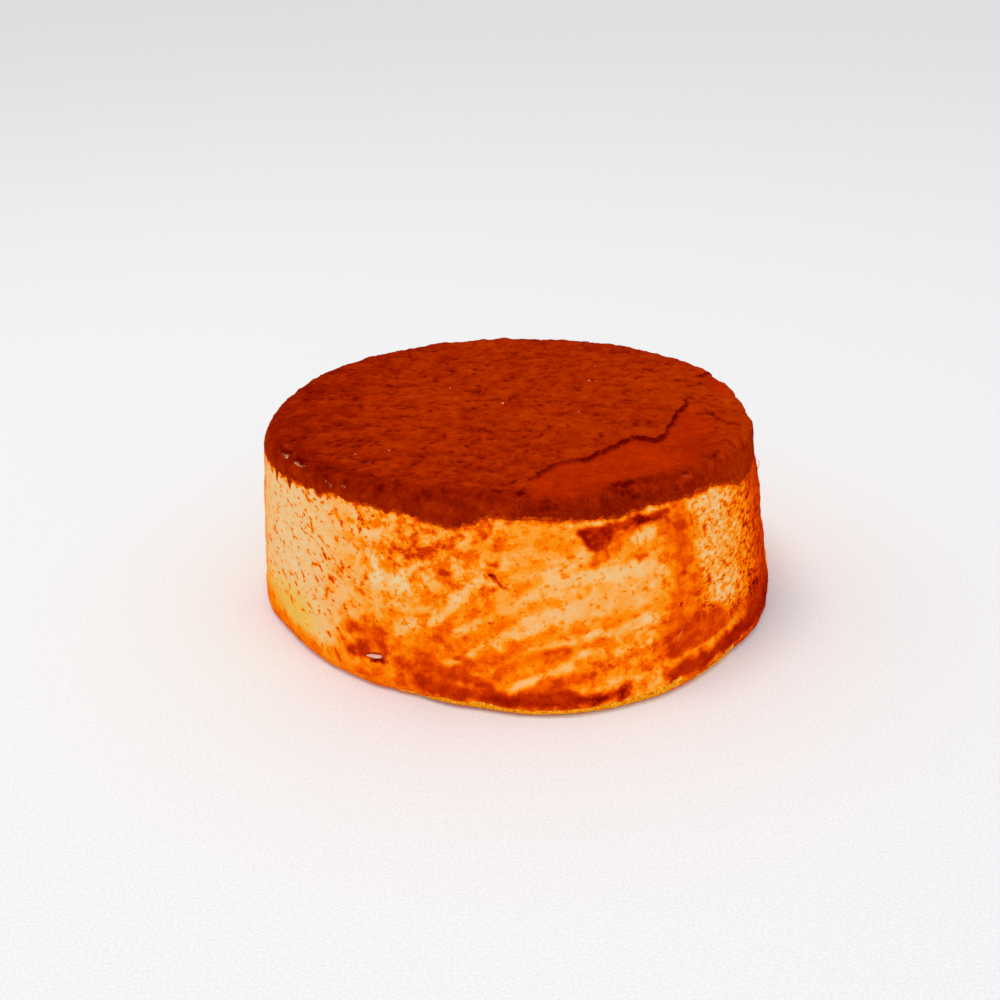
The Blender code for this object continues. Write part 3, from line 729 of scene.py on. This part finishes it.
def plain_material(name, colour, roughness):
    """One soft colour with a little unevenness in it."""
    shader = Shader(name, roughness, 0.1)
    darker = tuple(int(part * 0.95) for part in colour)
    fine = shader.noise(0.4)
    return shader.finish(shader.ramp(fine, ((0.3, darker), (0.7, colour))), fine, 0.01)


# ---- the crust ----------------------------------------------------------------------------------
def disc_grid(cells):
    """A square grid pressed into a disc of radius 1, and its edge as places in the grid."""
    side = np.linspace(-1, 1, cells + 1)
    away, across = np.meshgrid(side, side, indexing="ij")
    wide = np.abs(across) > np.abs(away)
    reach = np.where(wide, across, away)
    slant = np.where(wide, away, across) / np.where(reach == 0, 1, reach)
    angle = np.where(wide, slant, 2 - slant) * math.pi / 4
    index = np.arange((cells + 1) ** 2).reshape(cells + 1, cells + 1)
    edge = np.concatenate([index[0, :-1], index[:-1, -1], index[-1, :0:-1], index[:0:-1, 0]])
    quads = np.stack([index[:-1, :-1], index[:-1, 1:], index[1:, 1:], index[1:, :-1]], axis=-1)
    places = np.stack([reach * np.cos(angle), reach * np.sin(angle)], axis=-1).reshape(-1, 2)
    return places, edge, quads.reshape(-1, 4).tolist()


def gathered(places, real, path, reach):
    """Draws the grid's points towards a broken edge, so that its wall gets finer faces."""
    nearest = np.full(len(places), np.inf)
    pull = np.zeros_like(places)
    for start, end in zip(path, path[1:]):
        near = np.stack(nearest_on_line(real[:, 0], real[:, 1], start, end), axis=-1) - real[:, :2]
        distance = np.linalg.norm(near, axis=-1)
        closer = distance < nearest
        nearest = np.where(closer, distance, nearest)
        pull[closer] = near[closer]
    return places + pull * (0.55 * ease(nearest, reach, 0.35 * reach))[:, None]


def scar(x, y, broken_edge, far_side, depth):
    """The depth of a scar's floor, how pressed it is and the painted shadow along its broken wall."""
    within = inside(x, y, [*broken_edge, *far_side])
    to_edge = from_path(x, y, broken_edge)
    to_far = from_path(x, y, [broken_edge[-1], *far_side, broken_edge[0]])
    fade = 1.4 + 3.0 * ease(x, 14, 24)
    wall = ease(to_edge, 0, 0.45)
    places = np.stack([x, y, 0 * x], axis=-1)
    uneven = 1 + 0.5 * ripple(places, 1.8, 45) + 0.4 * ripple(places, 0.8, 46)
    shadow = ease(to_edge * uneven, 0.62, 0.10) * ease(to_far, 0.2, 2.0) * (1 - 0.45 * ease(x, 17, 7))
    floor = within * wall * depth * ease(to_far, 0.0, 5.0)
    pressed = within * wall * ease(to_far / fade, 0.1, 1.0)
    return floor, pressed, within * shadow


def scattered_pits(x, y, count, random):
    """Small hollows in the craggy cocoa, as a depth between 0 and 1 at each place."""
    hollow = np.zeros(x.shape)
    for _ in range(count):
        reach = 39 * math.sqrt(random.random())
        turn = random.uniform(0, 2 * math.pi)
        middle = (reach * math.cos(turn), reach * math.sin(turn))
        half = random.uniform(0.0, 0.5)
        along = random.uniform(0, math.pi)
        stretch = (half * math.cos(along), half * math.sin(along))
        near = np.hypot(x - middle[0], y - middle[1]) < 2
        start = (middle[0] - stretch[0], middle[1] - stretch[1])
        end = (middle[0] + stretch[0], middle[1] + stretch[1])
        distance = from_line(x[near], y[near], start, end)
        depth = random.uniform(0.3, 1.0)
        width = random.uniform(0.26, 0.55)
        hollow[near] = np.maximum(hollow[near], depth * ease(distance, width, 0.1))
    return hollow


def crust_drum():
    """The crust as a drum: a disc of squares, then rows down its edge, and in under the lip."""
    corner = HEIGHT - EDGE_RADIUS
    flat = TOP_RADIUS - EDGE_RADIUS
    lip = HEIGHT - LIP_DROP
    places, edge, faces = disc_grid(TOP_CELLS)
    places = places * flat
    real = settled(np.column_stack([places, np.full(len(places), HEIGHT)]))
    inner = ease(np.hypot(places[:, 0], places[:, 1]), flat, flat - 3.0)[:, None]
    for path, reach in ((BROKEN_EDGE, 4.0), (SMALL_BROKEN_EDGE, 3.0)):
        places = places + (gathered(places, real, path, reach) - places) * inner
    top = np.column_stack([places, np.full(len(places), HEIGHT)])
    angles = np.arctan2(top[edge, 1], top[edge, 0])
    turns = [math.radians(90 - 90 * step / ROUND_ROWS) for step in range(1, ROUND_ROWS + 1)]
    profile = [(flat + EDGE_RADIUS * math.cos(turn), corner + EDGE_RADIUS * math.sin(turn)) for turn in turns]
    levels = [corner + (lip - corner) * step / SKIRT_ROWS for step in range(1, SKIRT_ROWS + 1)]
    profile += [(TOP_RADIUS, level) for level in levels]
    under = [
        (TOP_RADIUS - 0.26, lip - 0.35),
        (TOP_RADIUS - CRUST_SIDE, lip - 0.2),
        (TOP_RADIUS - CRUST_SIDE - 0.8, corner),
        (flat - 1.0, HEIGHT - 1.9),
    ]
    rows = turned(profile + under, angles)
    count = len(edge)
    first = len(top)
    here, after = np.arange(count), np.roll(np.arange(count), -1)
    faces += np.stack([edge[here], first + here, first + after, edge[after]], axis=-1).tolist()
    faces += row_faces(len(rows), count, first)
    last = first + (len(rows) - 1) * count
    faces.append(list(range(last + count - 1, last - 1, -1)))
    drum = np.concatenate([top, rows.reshape(-1, 3)])
    outer = np.arange(len(drum)) < first + len(profile) * count
    return drum, faces, outer


def rounder(drum, skirt):
    """How far the rim is drawn in where it is rounder than elsewhere."""
    degrees = degrees_of(drum)
    near_rim = ease(np.hypot(drum[:, 0], drum[:, 1]), 34.5, 40.0) * ease(skirt, 0.9, 0.0)
    drawn = [far * beside(degrees, middle, reach, 0.3 * reach) for middle, reach, far in ROUNDER_RIMS]
    return near_rim * sum(drawn)


def cracked(x, y):
    """The depth of the cracks at each place."""
    depths = [depth * ease(from_path(x, y, path), half_width * 1.5, 0) for path, half_width, depth in CRACKS]
    return np.max(depths, axis=0)


def chipped_rim(shaped, real):
    """Where the rim has lost its cocoa, how bare it is there and the painted shadow behind it, under the
    cocoa's broken edge.
    """
    behind_rim = real + outward(real) * 0.6 - (0, 0, 0.2)
    ragged, ragged_behind = 0.12 * ripple(shaped, 0.6, 11), 0.15 * ripple(shaped, 0.9, 19)
    chipped, bare, hollow = np.zeros((3, len(real)))
    for path, half_width, paleness in RIM_CHIPS:
        near = ease(from_path_in_space(real, path) + ragged, half_width * 1.5, half_width * 0.5)
        behind = from_path_in_space(behind_rim, path) + ragged_behind
        chipped = chipped + near
        bare = np.maximum(bare, near * paleness)
        # hollow is the painted shadow under the cocoa's broken edge behind each chip
        hollow = np.maximum(hollow, ease(behind, half_width + 0.5, half_width))
    return np.stack([chipped, bare, hollow])


def make_crust():
    drum, faces, outer = crust_drum()
    corner = HEIGHT - EDGE_RADIUS
    skirt = np.clip((corner - drum[:, 2]) / (LIP_DROP - EDGE_RADIUS), 0, 1)
    steep = np.clip((HEIGHT - drum[:, 2]) / EDGE_RADIUS, 0, 1)
    shaped = follow_lip(drum)
    even = follow_lip(drum, is_ragged=False)
    real = settled(shaped)
    plan = real * (1, 1, 0)
    x, y = plan[:, 0], plan[:, 1]
    rough_x = x + 0.45 * ripple(real, 2.2, 4) + 0.30 * ripple(real, 0.9, 5) + 0.12 * ripple(real, 0.4, 15)
    rough_y = y + 0.45 * ripple(real, 2.2, 6) + 0.30 * ripple(real, 0.9, 7) + 0.12 * ripple(real, 0.4, 16)
    marks = [
        scar(rough_x, rough_y, BROKEN_EDGE, SCAR_FAR_SIDE, SCAR_DEPTH),
        scar(rough_x, rough_y, SMALL_BROKEN_EDGE, SMALL_SCAR_FAR_SIDE, SMALL_SCAR_DEPTH),
    ]
    # wall here carries each scar's painted shadow along its broken wall
    floor, pressed, wall = np.max(marks, axis=0) * ease(skirt, 0.3, 0.0)
    crack = cracked(rough_x, rough_y) * ease(skirt, 0.3, 0.0)
    pits = scattered_pits(rough_x, rough_y, PIT_COUNT, np.random.default_rng(5)) * (1 - pressed) * (1 - skirt)
    chipped, bare, hollow = chipped_rim(shaped, real) * outer

    above_lip = shaped[:, 2] - HEIGHT + lip_drop(np.arctan2(drum[:, 1], drum[:, 0]))
    crags = np.array([noise.fractal(place, 0.9, 2.0, 2) for place in (even / CRAG_WAVE).tolist()])
    pebbles = layered(even, PEBBLE_WAVE, 2, 8)
    powder = ripple(even, POWDER_WAVE, 10)
    radius = np.hypot(drum[:, 0], drum[:, 1])
    crumbly = ripple(even, CRUMB_WAVE, 47) * ease(radius, 36.0, 39.0) * ease(skirt, 0.6, 0.0)
    fine = PEBBLE_HEIGHT * pebbles * (1 - 0.4 * steep) + POWDER_HEIGHT * powder
    fine = fine + CRUMB_HEIGHT * crumbly - PIT_DEPTH * pits
    relief = (CRAG_HEIGHT * crags * (1 - 0.6 * steep) + fine) * (1 - 0.85 * pressed)
    relief = relief * (1 - 0.5 * ease(skirt, 0.0, 0.5)) - 0.14 * ease(above_lip, 0.9, 0.0)
    relief = relief - floor - crack - CHIP_DEPTH * chipped - rounder(drum, skirt)
    degrees = degrees_of(real)
    relief = relief + bulge(degrees, real[:, 2]) * ease(skirt, 0.0, 1.0)

    square = np.array((0, 0, 1)) * (1 - steep[:, None]) + outward(drum) * steep[:, None]
    square /= np.linalg.norm(square, axis=1, keepdims=True)
    points = settled(shaped + square * (relief * outer)[:, None])
    rim = ease(radius + 0.8 * ripple(shaped, 3.0, 17), 36.0, 40.3)
    front = ease(-drum[:, 1] / TOP_RADIUS, 0.1, 0.9)
    patchy = 0.55 + 0.45 * ripple(plan, 2.6, 18)
    # painted light and shade: the tone rises with the height of the pebbles, powder and crumbs, so crests are
    # lighter and low places darker
    relief_light_and_shade = (0.16 * pebbles + 0.08 * powder) * (1 - 0.5 * np.maximum(pressed, steep))
    tone = 0.50 + 0.10 * layered(even, 5.0, 2, 12) + relief_light_and_shade + 0.12 * crumbly * (1 - pressed)
    # painted shade: darker in the pits, and darker towards the left, where less light falls
    tone = tone - 0.44 * pits - 0.17 * ease(-drum[:, 0], 12, 36) * (1 - pressed) * (1 - 0.9 * steep)
    # painted shadow along the scars' broken walls, and painted shade in the cracks, darker the deeper they
    # are
    tone = tone - 0.60 * wall * (0.40 + 0.9 * patchy) - 0.9 * crack - 0.10 * pressed * ease(x, 22, 32)
    # painted shadow above each chip of the rim
    tone = tone - 0.36 * hollow
    # painted shade: the rim, most at the front, and the whole front of the top are darker, where they turn
    # away from the light; the top is also a little darker towards the back
    edge_shade = 0.20 * rim * (1 - 0.6 * steep) * (0.25 + 0.75 * front) * (1 - 0.5 * pressed)
    tone = tone - edge_shade * (1 - 0.9 * ease(x, 16, 31)) - 0.07 * front - 0.05 * ease(y, 5, 30)
    # painted shade on the steep skirt at the front, which faces away from the light
    tone = tone - 0.10 * ease(steep, 0.6, 1.0) * beside(degrees, -64, 30, 20) * (1 - pressed)
    tone = tone + 0.10 * ease(x, 34, 39) * ease(steep, 0.9, 0.2)
    uneven_lip = above_lip + 0.3 * ripple(shaped, 2.4, 13) + 0.3 * ripple(shaped, 0.9, 14)
    fringe = ease(uneven_lip, 0.9, -0.1) * skirt * (1 - beside(degrees, -8, 26, 12))
    attributes = {"tone": tone, "pressed": pressed, "bare": bare, "fringe": fringe}
    return new_piece("cocoa_top", points, faces, cocoa_material(), attributes)


# ---- the cream ----------------------------------------------------------------------------------
def paint(cocoa, degrees, height, strokes, softness, blur):
    """Lays strokes of cocoa on the side, each with a ragged edge."""
    for stroke in strokes:
        distance = from_stroke(degrees, height, stroke) / stroke[4]
        cocoa = cocoa + (stroke[5] - cocoa) * ease(distance + blur, 1 + softness, 1 - softness)
    return cocoa


def back_washes(random):
    """Broad soft stains for the side that the front view doesn't show, like those at the front."""
    for _ in range(BACK_WASHES):
        start = random.uniform(-2, 160)
        low = random.uniform(4, 27)
        run = random.uniform(8, 20)
        rise = random.uniform(0, 5)
        half_width = random.uniform(2.5, 4.5)
        yield start, low, start + run, low + rise, half_width, random.choice([0.2, 0.4, 0.48, 0.56])


def back_streaks(random):
    """Wiped bands and cocoa between them, for the same side, and its dark foot."""
    for _ in range(BACK_STREAKS):
        start = random.uniform(-10, 172)
        low = random.uniform(3, 27)
        run = random.uniform(5, 14)
        rise = run * random.uniform(0.05, 0.4)
        half_width = random.uniform(0.5, 1.3)
        cocoa = random.choice([0.14, 0.18, 0.24, 0.4, 0.55, 0.68])
        yield start, low, start + run, low + rise, half_width, cocoa
    for _ in range(BACK_FOOT_STROKES):
        start = random.uniform(-10, 164)
        low = random.uniform(2.2, 3.4)
        run = random.uniform(12, 26)
        rise = random.uniform(-0.6, 0.6)
        yield start, low, start + run, low + rise, random.uniform(0.7, 1.5), random.uniform(0.66, 0.88)


def smeared_places(shaped, angles, stretch, lean=1.0):
    """Places for a noise that is drawn out along the smears, which rise differently round the side."""
    rise = round_the_side(SMEAR_RISE, np.degrees(angles)) * lean
    step = TOP_RADIUS * (angles[1] - angles[0])
    shift = np.cumsum(rise - rise.mean()) * step
    places = shaped / (*stretch, 1.0)
    places[..., 2] -= shift
    return places


def golden_share(degrees, height, shaped):
    """Where the pale sponge line shows along the foot."""
    bent = height + 0.22 * ripple(shaped, 3.0, 50) + 0.15 * ripple(shaped, 0.9, 51)
    lines = [ease(from_stroke(degrees, bent, line), line[4] * 1.6, line[4] * 0.5) for line in GOLDEN_LINE]
    return np.max(lines, axis=0)


def foot_bumps(shaped):
    """The crumbly unevenness that the cream's lowest edge shares with the sponge."""
    return 0.16 * ripple(shaped, 3.2, 40) + 0.10 * ripple(shaped, 1.0, 41) + 0.05 * ripple(shaped, 0.5, 42)


def side_angles():
    return np.radians(np.arange(CREAM_COLUMNS) * 360 / CREAM_COLUMNS - 180)


def cream_drum(angles):
    """The cream as a drum: a narrow collar under the crust, then rows down its side to the sponge."""
    lip = HEIGHT - LIP_DROP
    side = TOP_RADIUS - CREAM_INSET
    tucked = TOP_RADIUS - CRUST_SIDE - 0.3
    top_row, bottom_row = lip + 1.3, SPONGE_THICKNESS + 0.15
    profile = [(37.0, HEIGHT - 2.0), (tucked - 0.6, HEIGHT - 2.5)]
    for step in range(CREAM_ROWS):
        level = top_row + (bottom_row - top_row) * step / (CREAM_ROWS - 1)
        out = float(ease(np.array(level), lip + 1.10, lip + 0.35))
        profile.append((tucked + (side - tucked) * out, level))
    profile += [(side, SPONGE_THICKNESS), (side - 0.5, SPONGE_THICKNESS - 0.02)]
    return turned(profile, angles)


def make_cream():
    angles = side_angles()
    drum = cream_drum(angles)
    shaped = follow_lip(drum)
    real = settled(shaped)
    degrees = degrees_of(real)
    height = real[..., 2]
    bent_degrees = degrees + (0.9 * ripple(shaped, 3.6, 20) + 0.5 * ripple(shaped, 1.3, 21)) / MM_PER_DEGREE
    bent_height = height + 0.7 * ripple(shaped, 3.6, 22) + 0.5 * ripple(shaped, 1.3, 23)
    blur = 0.45 * ripple(shaped, 1.1, 24) + 0.30 * ripple(shaped, 0.5, 25)
    random = np.random.default_rng(11)

    # the stains, with painted shade at the side's left edge
    cocoa = round_the_side(CREAM_STAIN_AND_SHADE, bent_degrees)
    cocoa = paint(cocoa, bent_degrees, bent_height, WASHES, 0.75, blur * 0.6)
    cocoa = paint(cocoa, bent_degrees, bent_height, back_washes(random), 0.75, blur * 0.6)
    cocoa = paint(cocoa, bent_degrees, bent_height, back_streaks(random), 0.8, blur)
    cocoa = paint(cocoa, bent_degrees, bent_height, STREAKS, 0.65, blur * 0.5)
    smears = smeared_places(shaped, angles, (4.5, 4.5))
    drawn = 0.6 * ripple(smears, 1.2, 26) + 0.5 * ripple(smears, 0.6, 27)
    mottled = 0.6 * ripple(shaped, 1.9, 28) + 0.5 * ripple(shaped, 0.9, 29)
    stained = ease(cocoa, 0.12, 0.36) * ease(cocoa, 0.95, 0.6)
    cocoa = cocoa + drawn * (0.02 + 0.09 * stained) + mottled * (0.02 + 0.03 * stained)
    restless = 1.7 * beside(degrees, -110, 22, 12) * ease(height, 17, 21)
    restless = restless + beside(degrees, -68, 12, 6) * ease(height, 15, 12)
    unrest = 0.05 + 0.10 * stained + 0.13 * restless
    near_degrees = degrees + 0.3 * ripple(shaped, 0.9, 30) / MM_PER_DEGREE
    near_height = height + 0.3 * ripple(shaped, 0.9, 31)
    cocoa = paint(cocoa, near_degrees, near_height, MARKS, 0.6, blur * 0.6)

    below_lip = HEIGHT - lip_drop(angles) - shaped[..., 2]
    clusters = 1 + 0.9 * ripple(shaped, 3.8, 33) + 0.6 * ripple(shaped, 1.6, 34)
    left_side = ease(np.abs(degrees + 155), 45, 20)  # ends at -180, past what the front view shows
    clean_foot = left_side * ease(height, 11, 5)
    cover = round_the_side(GRAIN_COVER, degrees) * clusters * (1 - 0.7 * clean_foot)
    powder = ease(below_lip + 0.6 * ripple(shaped, 1.5, 32), 1.8, 0.1)
    cover = np.maximum(cover, 0.65 * powder)
    rough_side = beside(degrees, -32, 17, 9) * ease(cocoa, 0.85, 0.6)
    cells = ripple(shaped / (1.3, 1.3, 1.0), 1.0, 37)
    cocoa = cocoa - 0.09 * rough_side * (cells + 0.8 * ripple(shaped, 2.6, 39))
    lip_width = (1.5 - 0.6 * left_side) * (1 - 0.4 * beside(degrees, -67, 10, 6))
    lip_stain = ease((below_lip + 0.7 * blur + 0.4 * ripple(shaped, 2.2, 38)) / lip_width, 1.0, -0.1)
    cocoa = np.maximum(cocoa, 0.80 * lip_stain)
    grain_depth = (0.26 + 0.26 * left_side + 0.04 * rough_side) * ease(cocoa, 0.80, 0.10)
    speckle = 0.27 * beside(degrees, -36, 17, 9) + 0.08 * beside(degrees, -20, 12, 6)
    speckle = speckle * ease(height, 5, 8) * ease(below_lip, 0.0, 1.5)
    speckle = speckle * ease(from_stroke(degrees, height, (-58, 7.4, -42, 7.4)), 1.6, 3.0)
    # where the painted yellow glow lies, low on the left of the side
    painted_glow = ease(from_stroke(degrees, height, (-166, 4, -150, 6)) + 1.2 * blur, 9, 2)
    slit = from_stroke(degrees, height, SLIT)
    golden = golden_share(degrees, height, shaped)

    low = ease(drum[..., 2], 3.5, SPONGE_THICKNESS)
    fade = ease(below_lip, 0.0, 2.0) * (1 - low)
    relief = fade * (0.22 * ripple(smears, 2.2, 35) + 0.08 * drawn + 0.05 * mottled)
    relief = relief + fade * rough_side * 0.14 * cells + low * foot_bumps(shaped)
    relief = relief + fade * beside(degrees, -8, 20, 8) * 0.16 * ripple(shaped, 1.1, 36)
    relief = relief + LUMP_HEIGHT * ease(from_stroke(degrees, height, LUMP) + 0.3 * blur, 2.0, 0.9)
    smear = from_stroke(degrees, height, LUMP_SMEAR) + 0.2 * blur
    relief = relief + LUMP_SMEAR_HEIGHT * ease(smear, 0.9, 0.2)
    relief = relief - SLIT_DEPTH * ease(slit, 0.80, 0.40)
    gouge = np.min([from_stroke(degrees, height, part) for part in GOUGE], axis=0)
    relief = relief - GOUGE_DEPTH * ease(gouge, 0.5, 0.1) + bulge(degrees, height)

    points = settled(shaped + outward(drum) * relief[..., None])
    attributes = {
        "cocoa": cocoa,
        "unrest": unrest,
        "cover": cover,
        "grain_depth": grain_depth,
        "speckle": speckle,
        "flow": smeared_places(shaped, angles, (1.1, 1.5), 0.2) * MM,
        "painted_glow": painted_glow,
        "golden": golden,
    }
    return turned_piece("cream_side", points, cream_material(), attributes)


# ---- the sponge ---------------------------------------------------------------------------------
def make_sponge():
    side = TOP_RADIUS - CREAM_INSET
    profile = [(side - 1.2, SPONGE_THICKNESS)]
    for step in range(SPONGE_ROWS):
        share = step / (SPONGE_ROWS - 1)
        profile.append((side - 1.2 * share**3, SPONGE_THICKNESS * (1 - share)))
    drum = turned(profile, side_angles())
    real = settled(drum)
    degrees = degrees_of(real)
    height = real[..., 2]
    relief = foot_bumps(drum) + bulge(degrees, height)
    points = settled(drum + outward(drum) * relief[..., None])
    points[..., 2] = np.maximum(points[..., 2], 0.0)
    points[-1, :, 2] = 0.0
    cocoa = round_the_side(FOOT_STAIN, degrees) + 0.10 * layered(drum, 2.4, 2, 44)
    attributes = {"golden": golden_share(degrees, height, drum), "cocoa": cocoa}
    return turned_piece("sponge_edge", points, sponge_material(), attributes)


# ---- loose grains and fibres --------------------------------------------------------------------
def point_numbers(piece, attribute):
    values = np.zeros(len(piece.data.vertices), np.float32)
    piece.data.attributes[attribute].data.foreach_get("value", values)
    return values


def surface_points(piece):
    """A piece's points, in millimetres, and which way its surface faces there."""
    count = len(piece.data.vertices)
    places, normals = np.zeros(count * 3), np.zeros(count * 3)
    piece.data.vertices.foreach_get("co", places)
    piece.data.vertex_normals.foreach_get("vector", normals)
    return places.reshape(-1, 3) / MM, normals.reshape(-1, 3)


def ball():
    """The corners and faces of a coarse ball of radius 1."""
    shape = bmesh.new()
    bmesh.ops.create_icosphere(shape, subdivisions=1, radius=1)
    corners = np.array([vert.co[:] for vert in shape.verts])
    faces = np.array([[vert.index for vert in face.verts] for face in shape.faces])
    shape.free()
    return corners, faces


def make_grains(name, places, normals, radii, tones, material, random):
    """One piece of many small uneven grains, each pressed half into the surface it lies on."""
    corners, faces = ball()
    count = len(places)
    across = np.cross(normals, random.normal(size=(count, 3)))
    across /= np.linalg.norm(across, axis=1, keepdims=True)
    beside = np.cross(normals, across)
    long_side = random.uniform(0.8, 1.5, (count, 1))
    axes = np.stack([across * long_side, beside, normals * 0.5], axis=1) * radii[:, None, None]
    uneven = corners * random.uniform(0.7, 1.25, (count, len(corners), 1))
    points = places[:, None] + uneven @ axes
    all_faces = faces + np.arange(count)[:, None, None] * len(corners)
    attributes = {"tone": np.repeat(tones, len(corners))}
    piece = new_piece(name, points.reshape(-1, 3), all_faces.reshape(-1, 3).tolist(), material, attributes)
    piece.data.shade_flat()
    return piece


def picked(weights, count, random):
    """The numbers of some points, each taken once and heavier ones more often."""
    return random.choice(len(weights), count, replace=False, p=weights / weights.sum())


def make_cocoa_grains(crust, cream):
    """Loose grains of cocoa: dark ones along the rim, and lighter ones on the cream below the lip."""
    random = np.random.default_rng(23)
    top_places, top_normals = surface_points(crust)
    side_places, side_normals = surface_points(cream)
    radius = np.hypot(top_places[:, 0], top_places[:, 1])
    top_weights = ease(radius, 37, 40) * (1 - point_numbers(crust, "pressed"))
    top_weights = top_weights * ease(top_normals[:, 2], -0.1, 0.4) * (1 - point_numbers(crust, "bare"))
    side_weights = ease(point_numbers(cream, "cover"), 0.45, 0.8) * (np.abs(side_normals[:, 2]) < 0.7)
    on_top = picked(top_weights, RIM_GRAINS, random)
    on_side = picked(side_weights, SIDE_GRAINS, random)
    places = np.concatenate([top_places[on_top], side_places[on_side]])
    normals = np.concatenate([top_normals[on_top], side_normals[on_side]])
    radii = random.uniform(*GRAIN_RADII, len(places))
    middle = np.repeat([RIM_GRAIN_TONE, SIDE_GRAIN_TONE], [RIM_GRAINS, SIDE_GRAINS])
    tones = np.clip(random.normal(middle, 0.1), 0, 1)
    return make_grains("cocoa_grains", places, normals, radii, tones, grain_material(), random)


def make_sugar_specks(crust):
    random = np.random.default_rng(31)
    places, normals = surface_points(crust)
    hidden = 100.0 * (normals[:, 2] < 0.3)
    away = [np.hypot(places[:, 0] - x, places[:, 1] - y) + hidden for x, y, _ in SUGAR_SPECKS]
    chosen = np.argmin(away, axis=1)
    radii = np.array([speck[2] for speck in SUGAR_SPECKS])
    material = plain_material("pale_sugar", (250, 190, 175), 0.6)
    return make_grains("sugar_specks", places[chosen], normals[chosen], radii, 0 * radii, material, random)


def on_cream(cream, degree, height, proud):
    """The place on the cream's side at a given angle and height, a little way out."""
    places, normals = surface_points(cream)
    offset = turn_from(degree, degrees_of(places))
    away = np.hypot(offset * MM_PER_DEGREE, places[:, 2] - height) + 100 * (normals[:, 2] > 0.6)
    nearest = int(np.argmin(away))
    return places[nearest] + normals[nearest] * proud


def make_fibre(name, cream, path, radius, colour):
    """A thin bent thing that lies on the cream; path has angle, height, how proud and how thick."""
    curve = bpy.data.curves.new(name, "CURVE")
    curve.dimensions = "3D"
    curve.bevel_depth = radius * MM
    curve.bevel_resolution = 2
    curve.use_fill_caps = True
    line = curve.splines.new("NURBS")
    line.points.add(len(path) - 1)
    line.use_endpoint_u = True
    line.order_u = 3
    for point, (degree, height, proud, share) in zip(line.points, path):
        point.co = (*(on_cream(cream, degree, height, proud) * MM), 1)
        point.radius = share
    curve.materials.append(plain_material(name, colour, 0.6))
    return placed(name, curve)


# ---- stage --------------------------------------------------------------------------------------
def soft_light(name, place, size, watts):
    light = bpy.data.lights.new(name, "AREA")
    light.shape = "DISK"
    light.size = size
    light.energy = watts
    lamp = placed(name, light)
    lamp.location = place
    lamp.rotation_euler = (Vector(LIGHT_AIM_M) - Vector(place)).to_track_quat("-Z", "Y").to_euler()


def make_stage():
    corners = [(x * FLOOR_HALF_M, y * FLOOR_HALF_M, 0) for x, y in ((-1, -1), (1, -1), (1, 1), (-1, 1))]
    mesh = bpy.data.meshes.new("floor")
    mesh.from_pydata(corners, [], [(0, 1, 2, 3)])
    mesh.materials.append(plain_material("floor_paper", (244, 244, 245), 0.9))
    floor = placed("floor", mesh)
    world = bpy.data.worlds.new("studio")
    world.use_nodes = True
    daylight = world.node_tree.nodes["Background"].inputs
    daylight["Color"].default_value = (1, 1, 1, 1)
    daylight["Strength"].default_value = DAYLIGHT
    bpy.context.scene.world = world
    for light in LIGHTS:
        soft_light(*light)


def make_camera():
    data = bpy.data.cameras.new("camera")
    data.sensor_width = 36
    data.lens = CAMERA_LENS
    data.clip_start = 0.01
    camera = placed("camera", data)
    tilt = Matrix.Rotation(math.radians(90 - CAMERA_TILT), 4, "X")
    roll = Matrix.Rotation(math.radians(CAMERA_ROLL), 4, "Z")
    camera.matrix_world = Matrix.Translation(Vector(CAMERA_PLACE) * MM) @ tilt @ roll
    bpy.context.scene.camera = camera


def main():
    make_camera()
    make_stage()
    bpy.context.scene.view_settings.view_transform = "Standard"
    crust = make_crust()
    cream = make_cream()
    sponge = make_sponge()
    for piece, node in ((crust, "cocoa_crust"), (cream, "cream_body"), (sponge, "sponge_base")):
        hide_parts(node)
    pieces = (
        (crust, "cocoa"),
        (make_cocoa_grains(crust, cream), "cocoa"),
        (make_sugar_specks(crust), "cream"),
        (cream, "cream"),
        (make_fibre("sliver", cream, SLIVER, 0.40, (236, 186, 162)), "cream"),
        (make_fibre("hair", cream, HAIR, 0.06, (255, 158, 84)), "cream"),
        (make_fibre("rim_fibre", cream, RIM_FIBRE, 0.06, (240, 170, 120)), "cream"),
        (sponge, "sponge"),
    )
    for piece, slot in pieces:
        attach(piece, "root")


main()
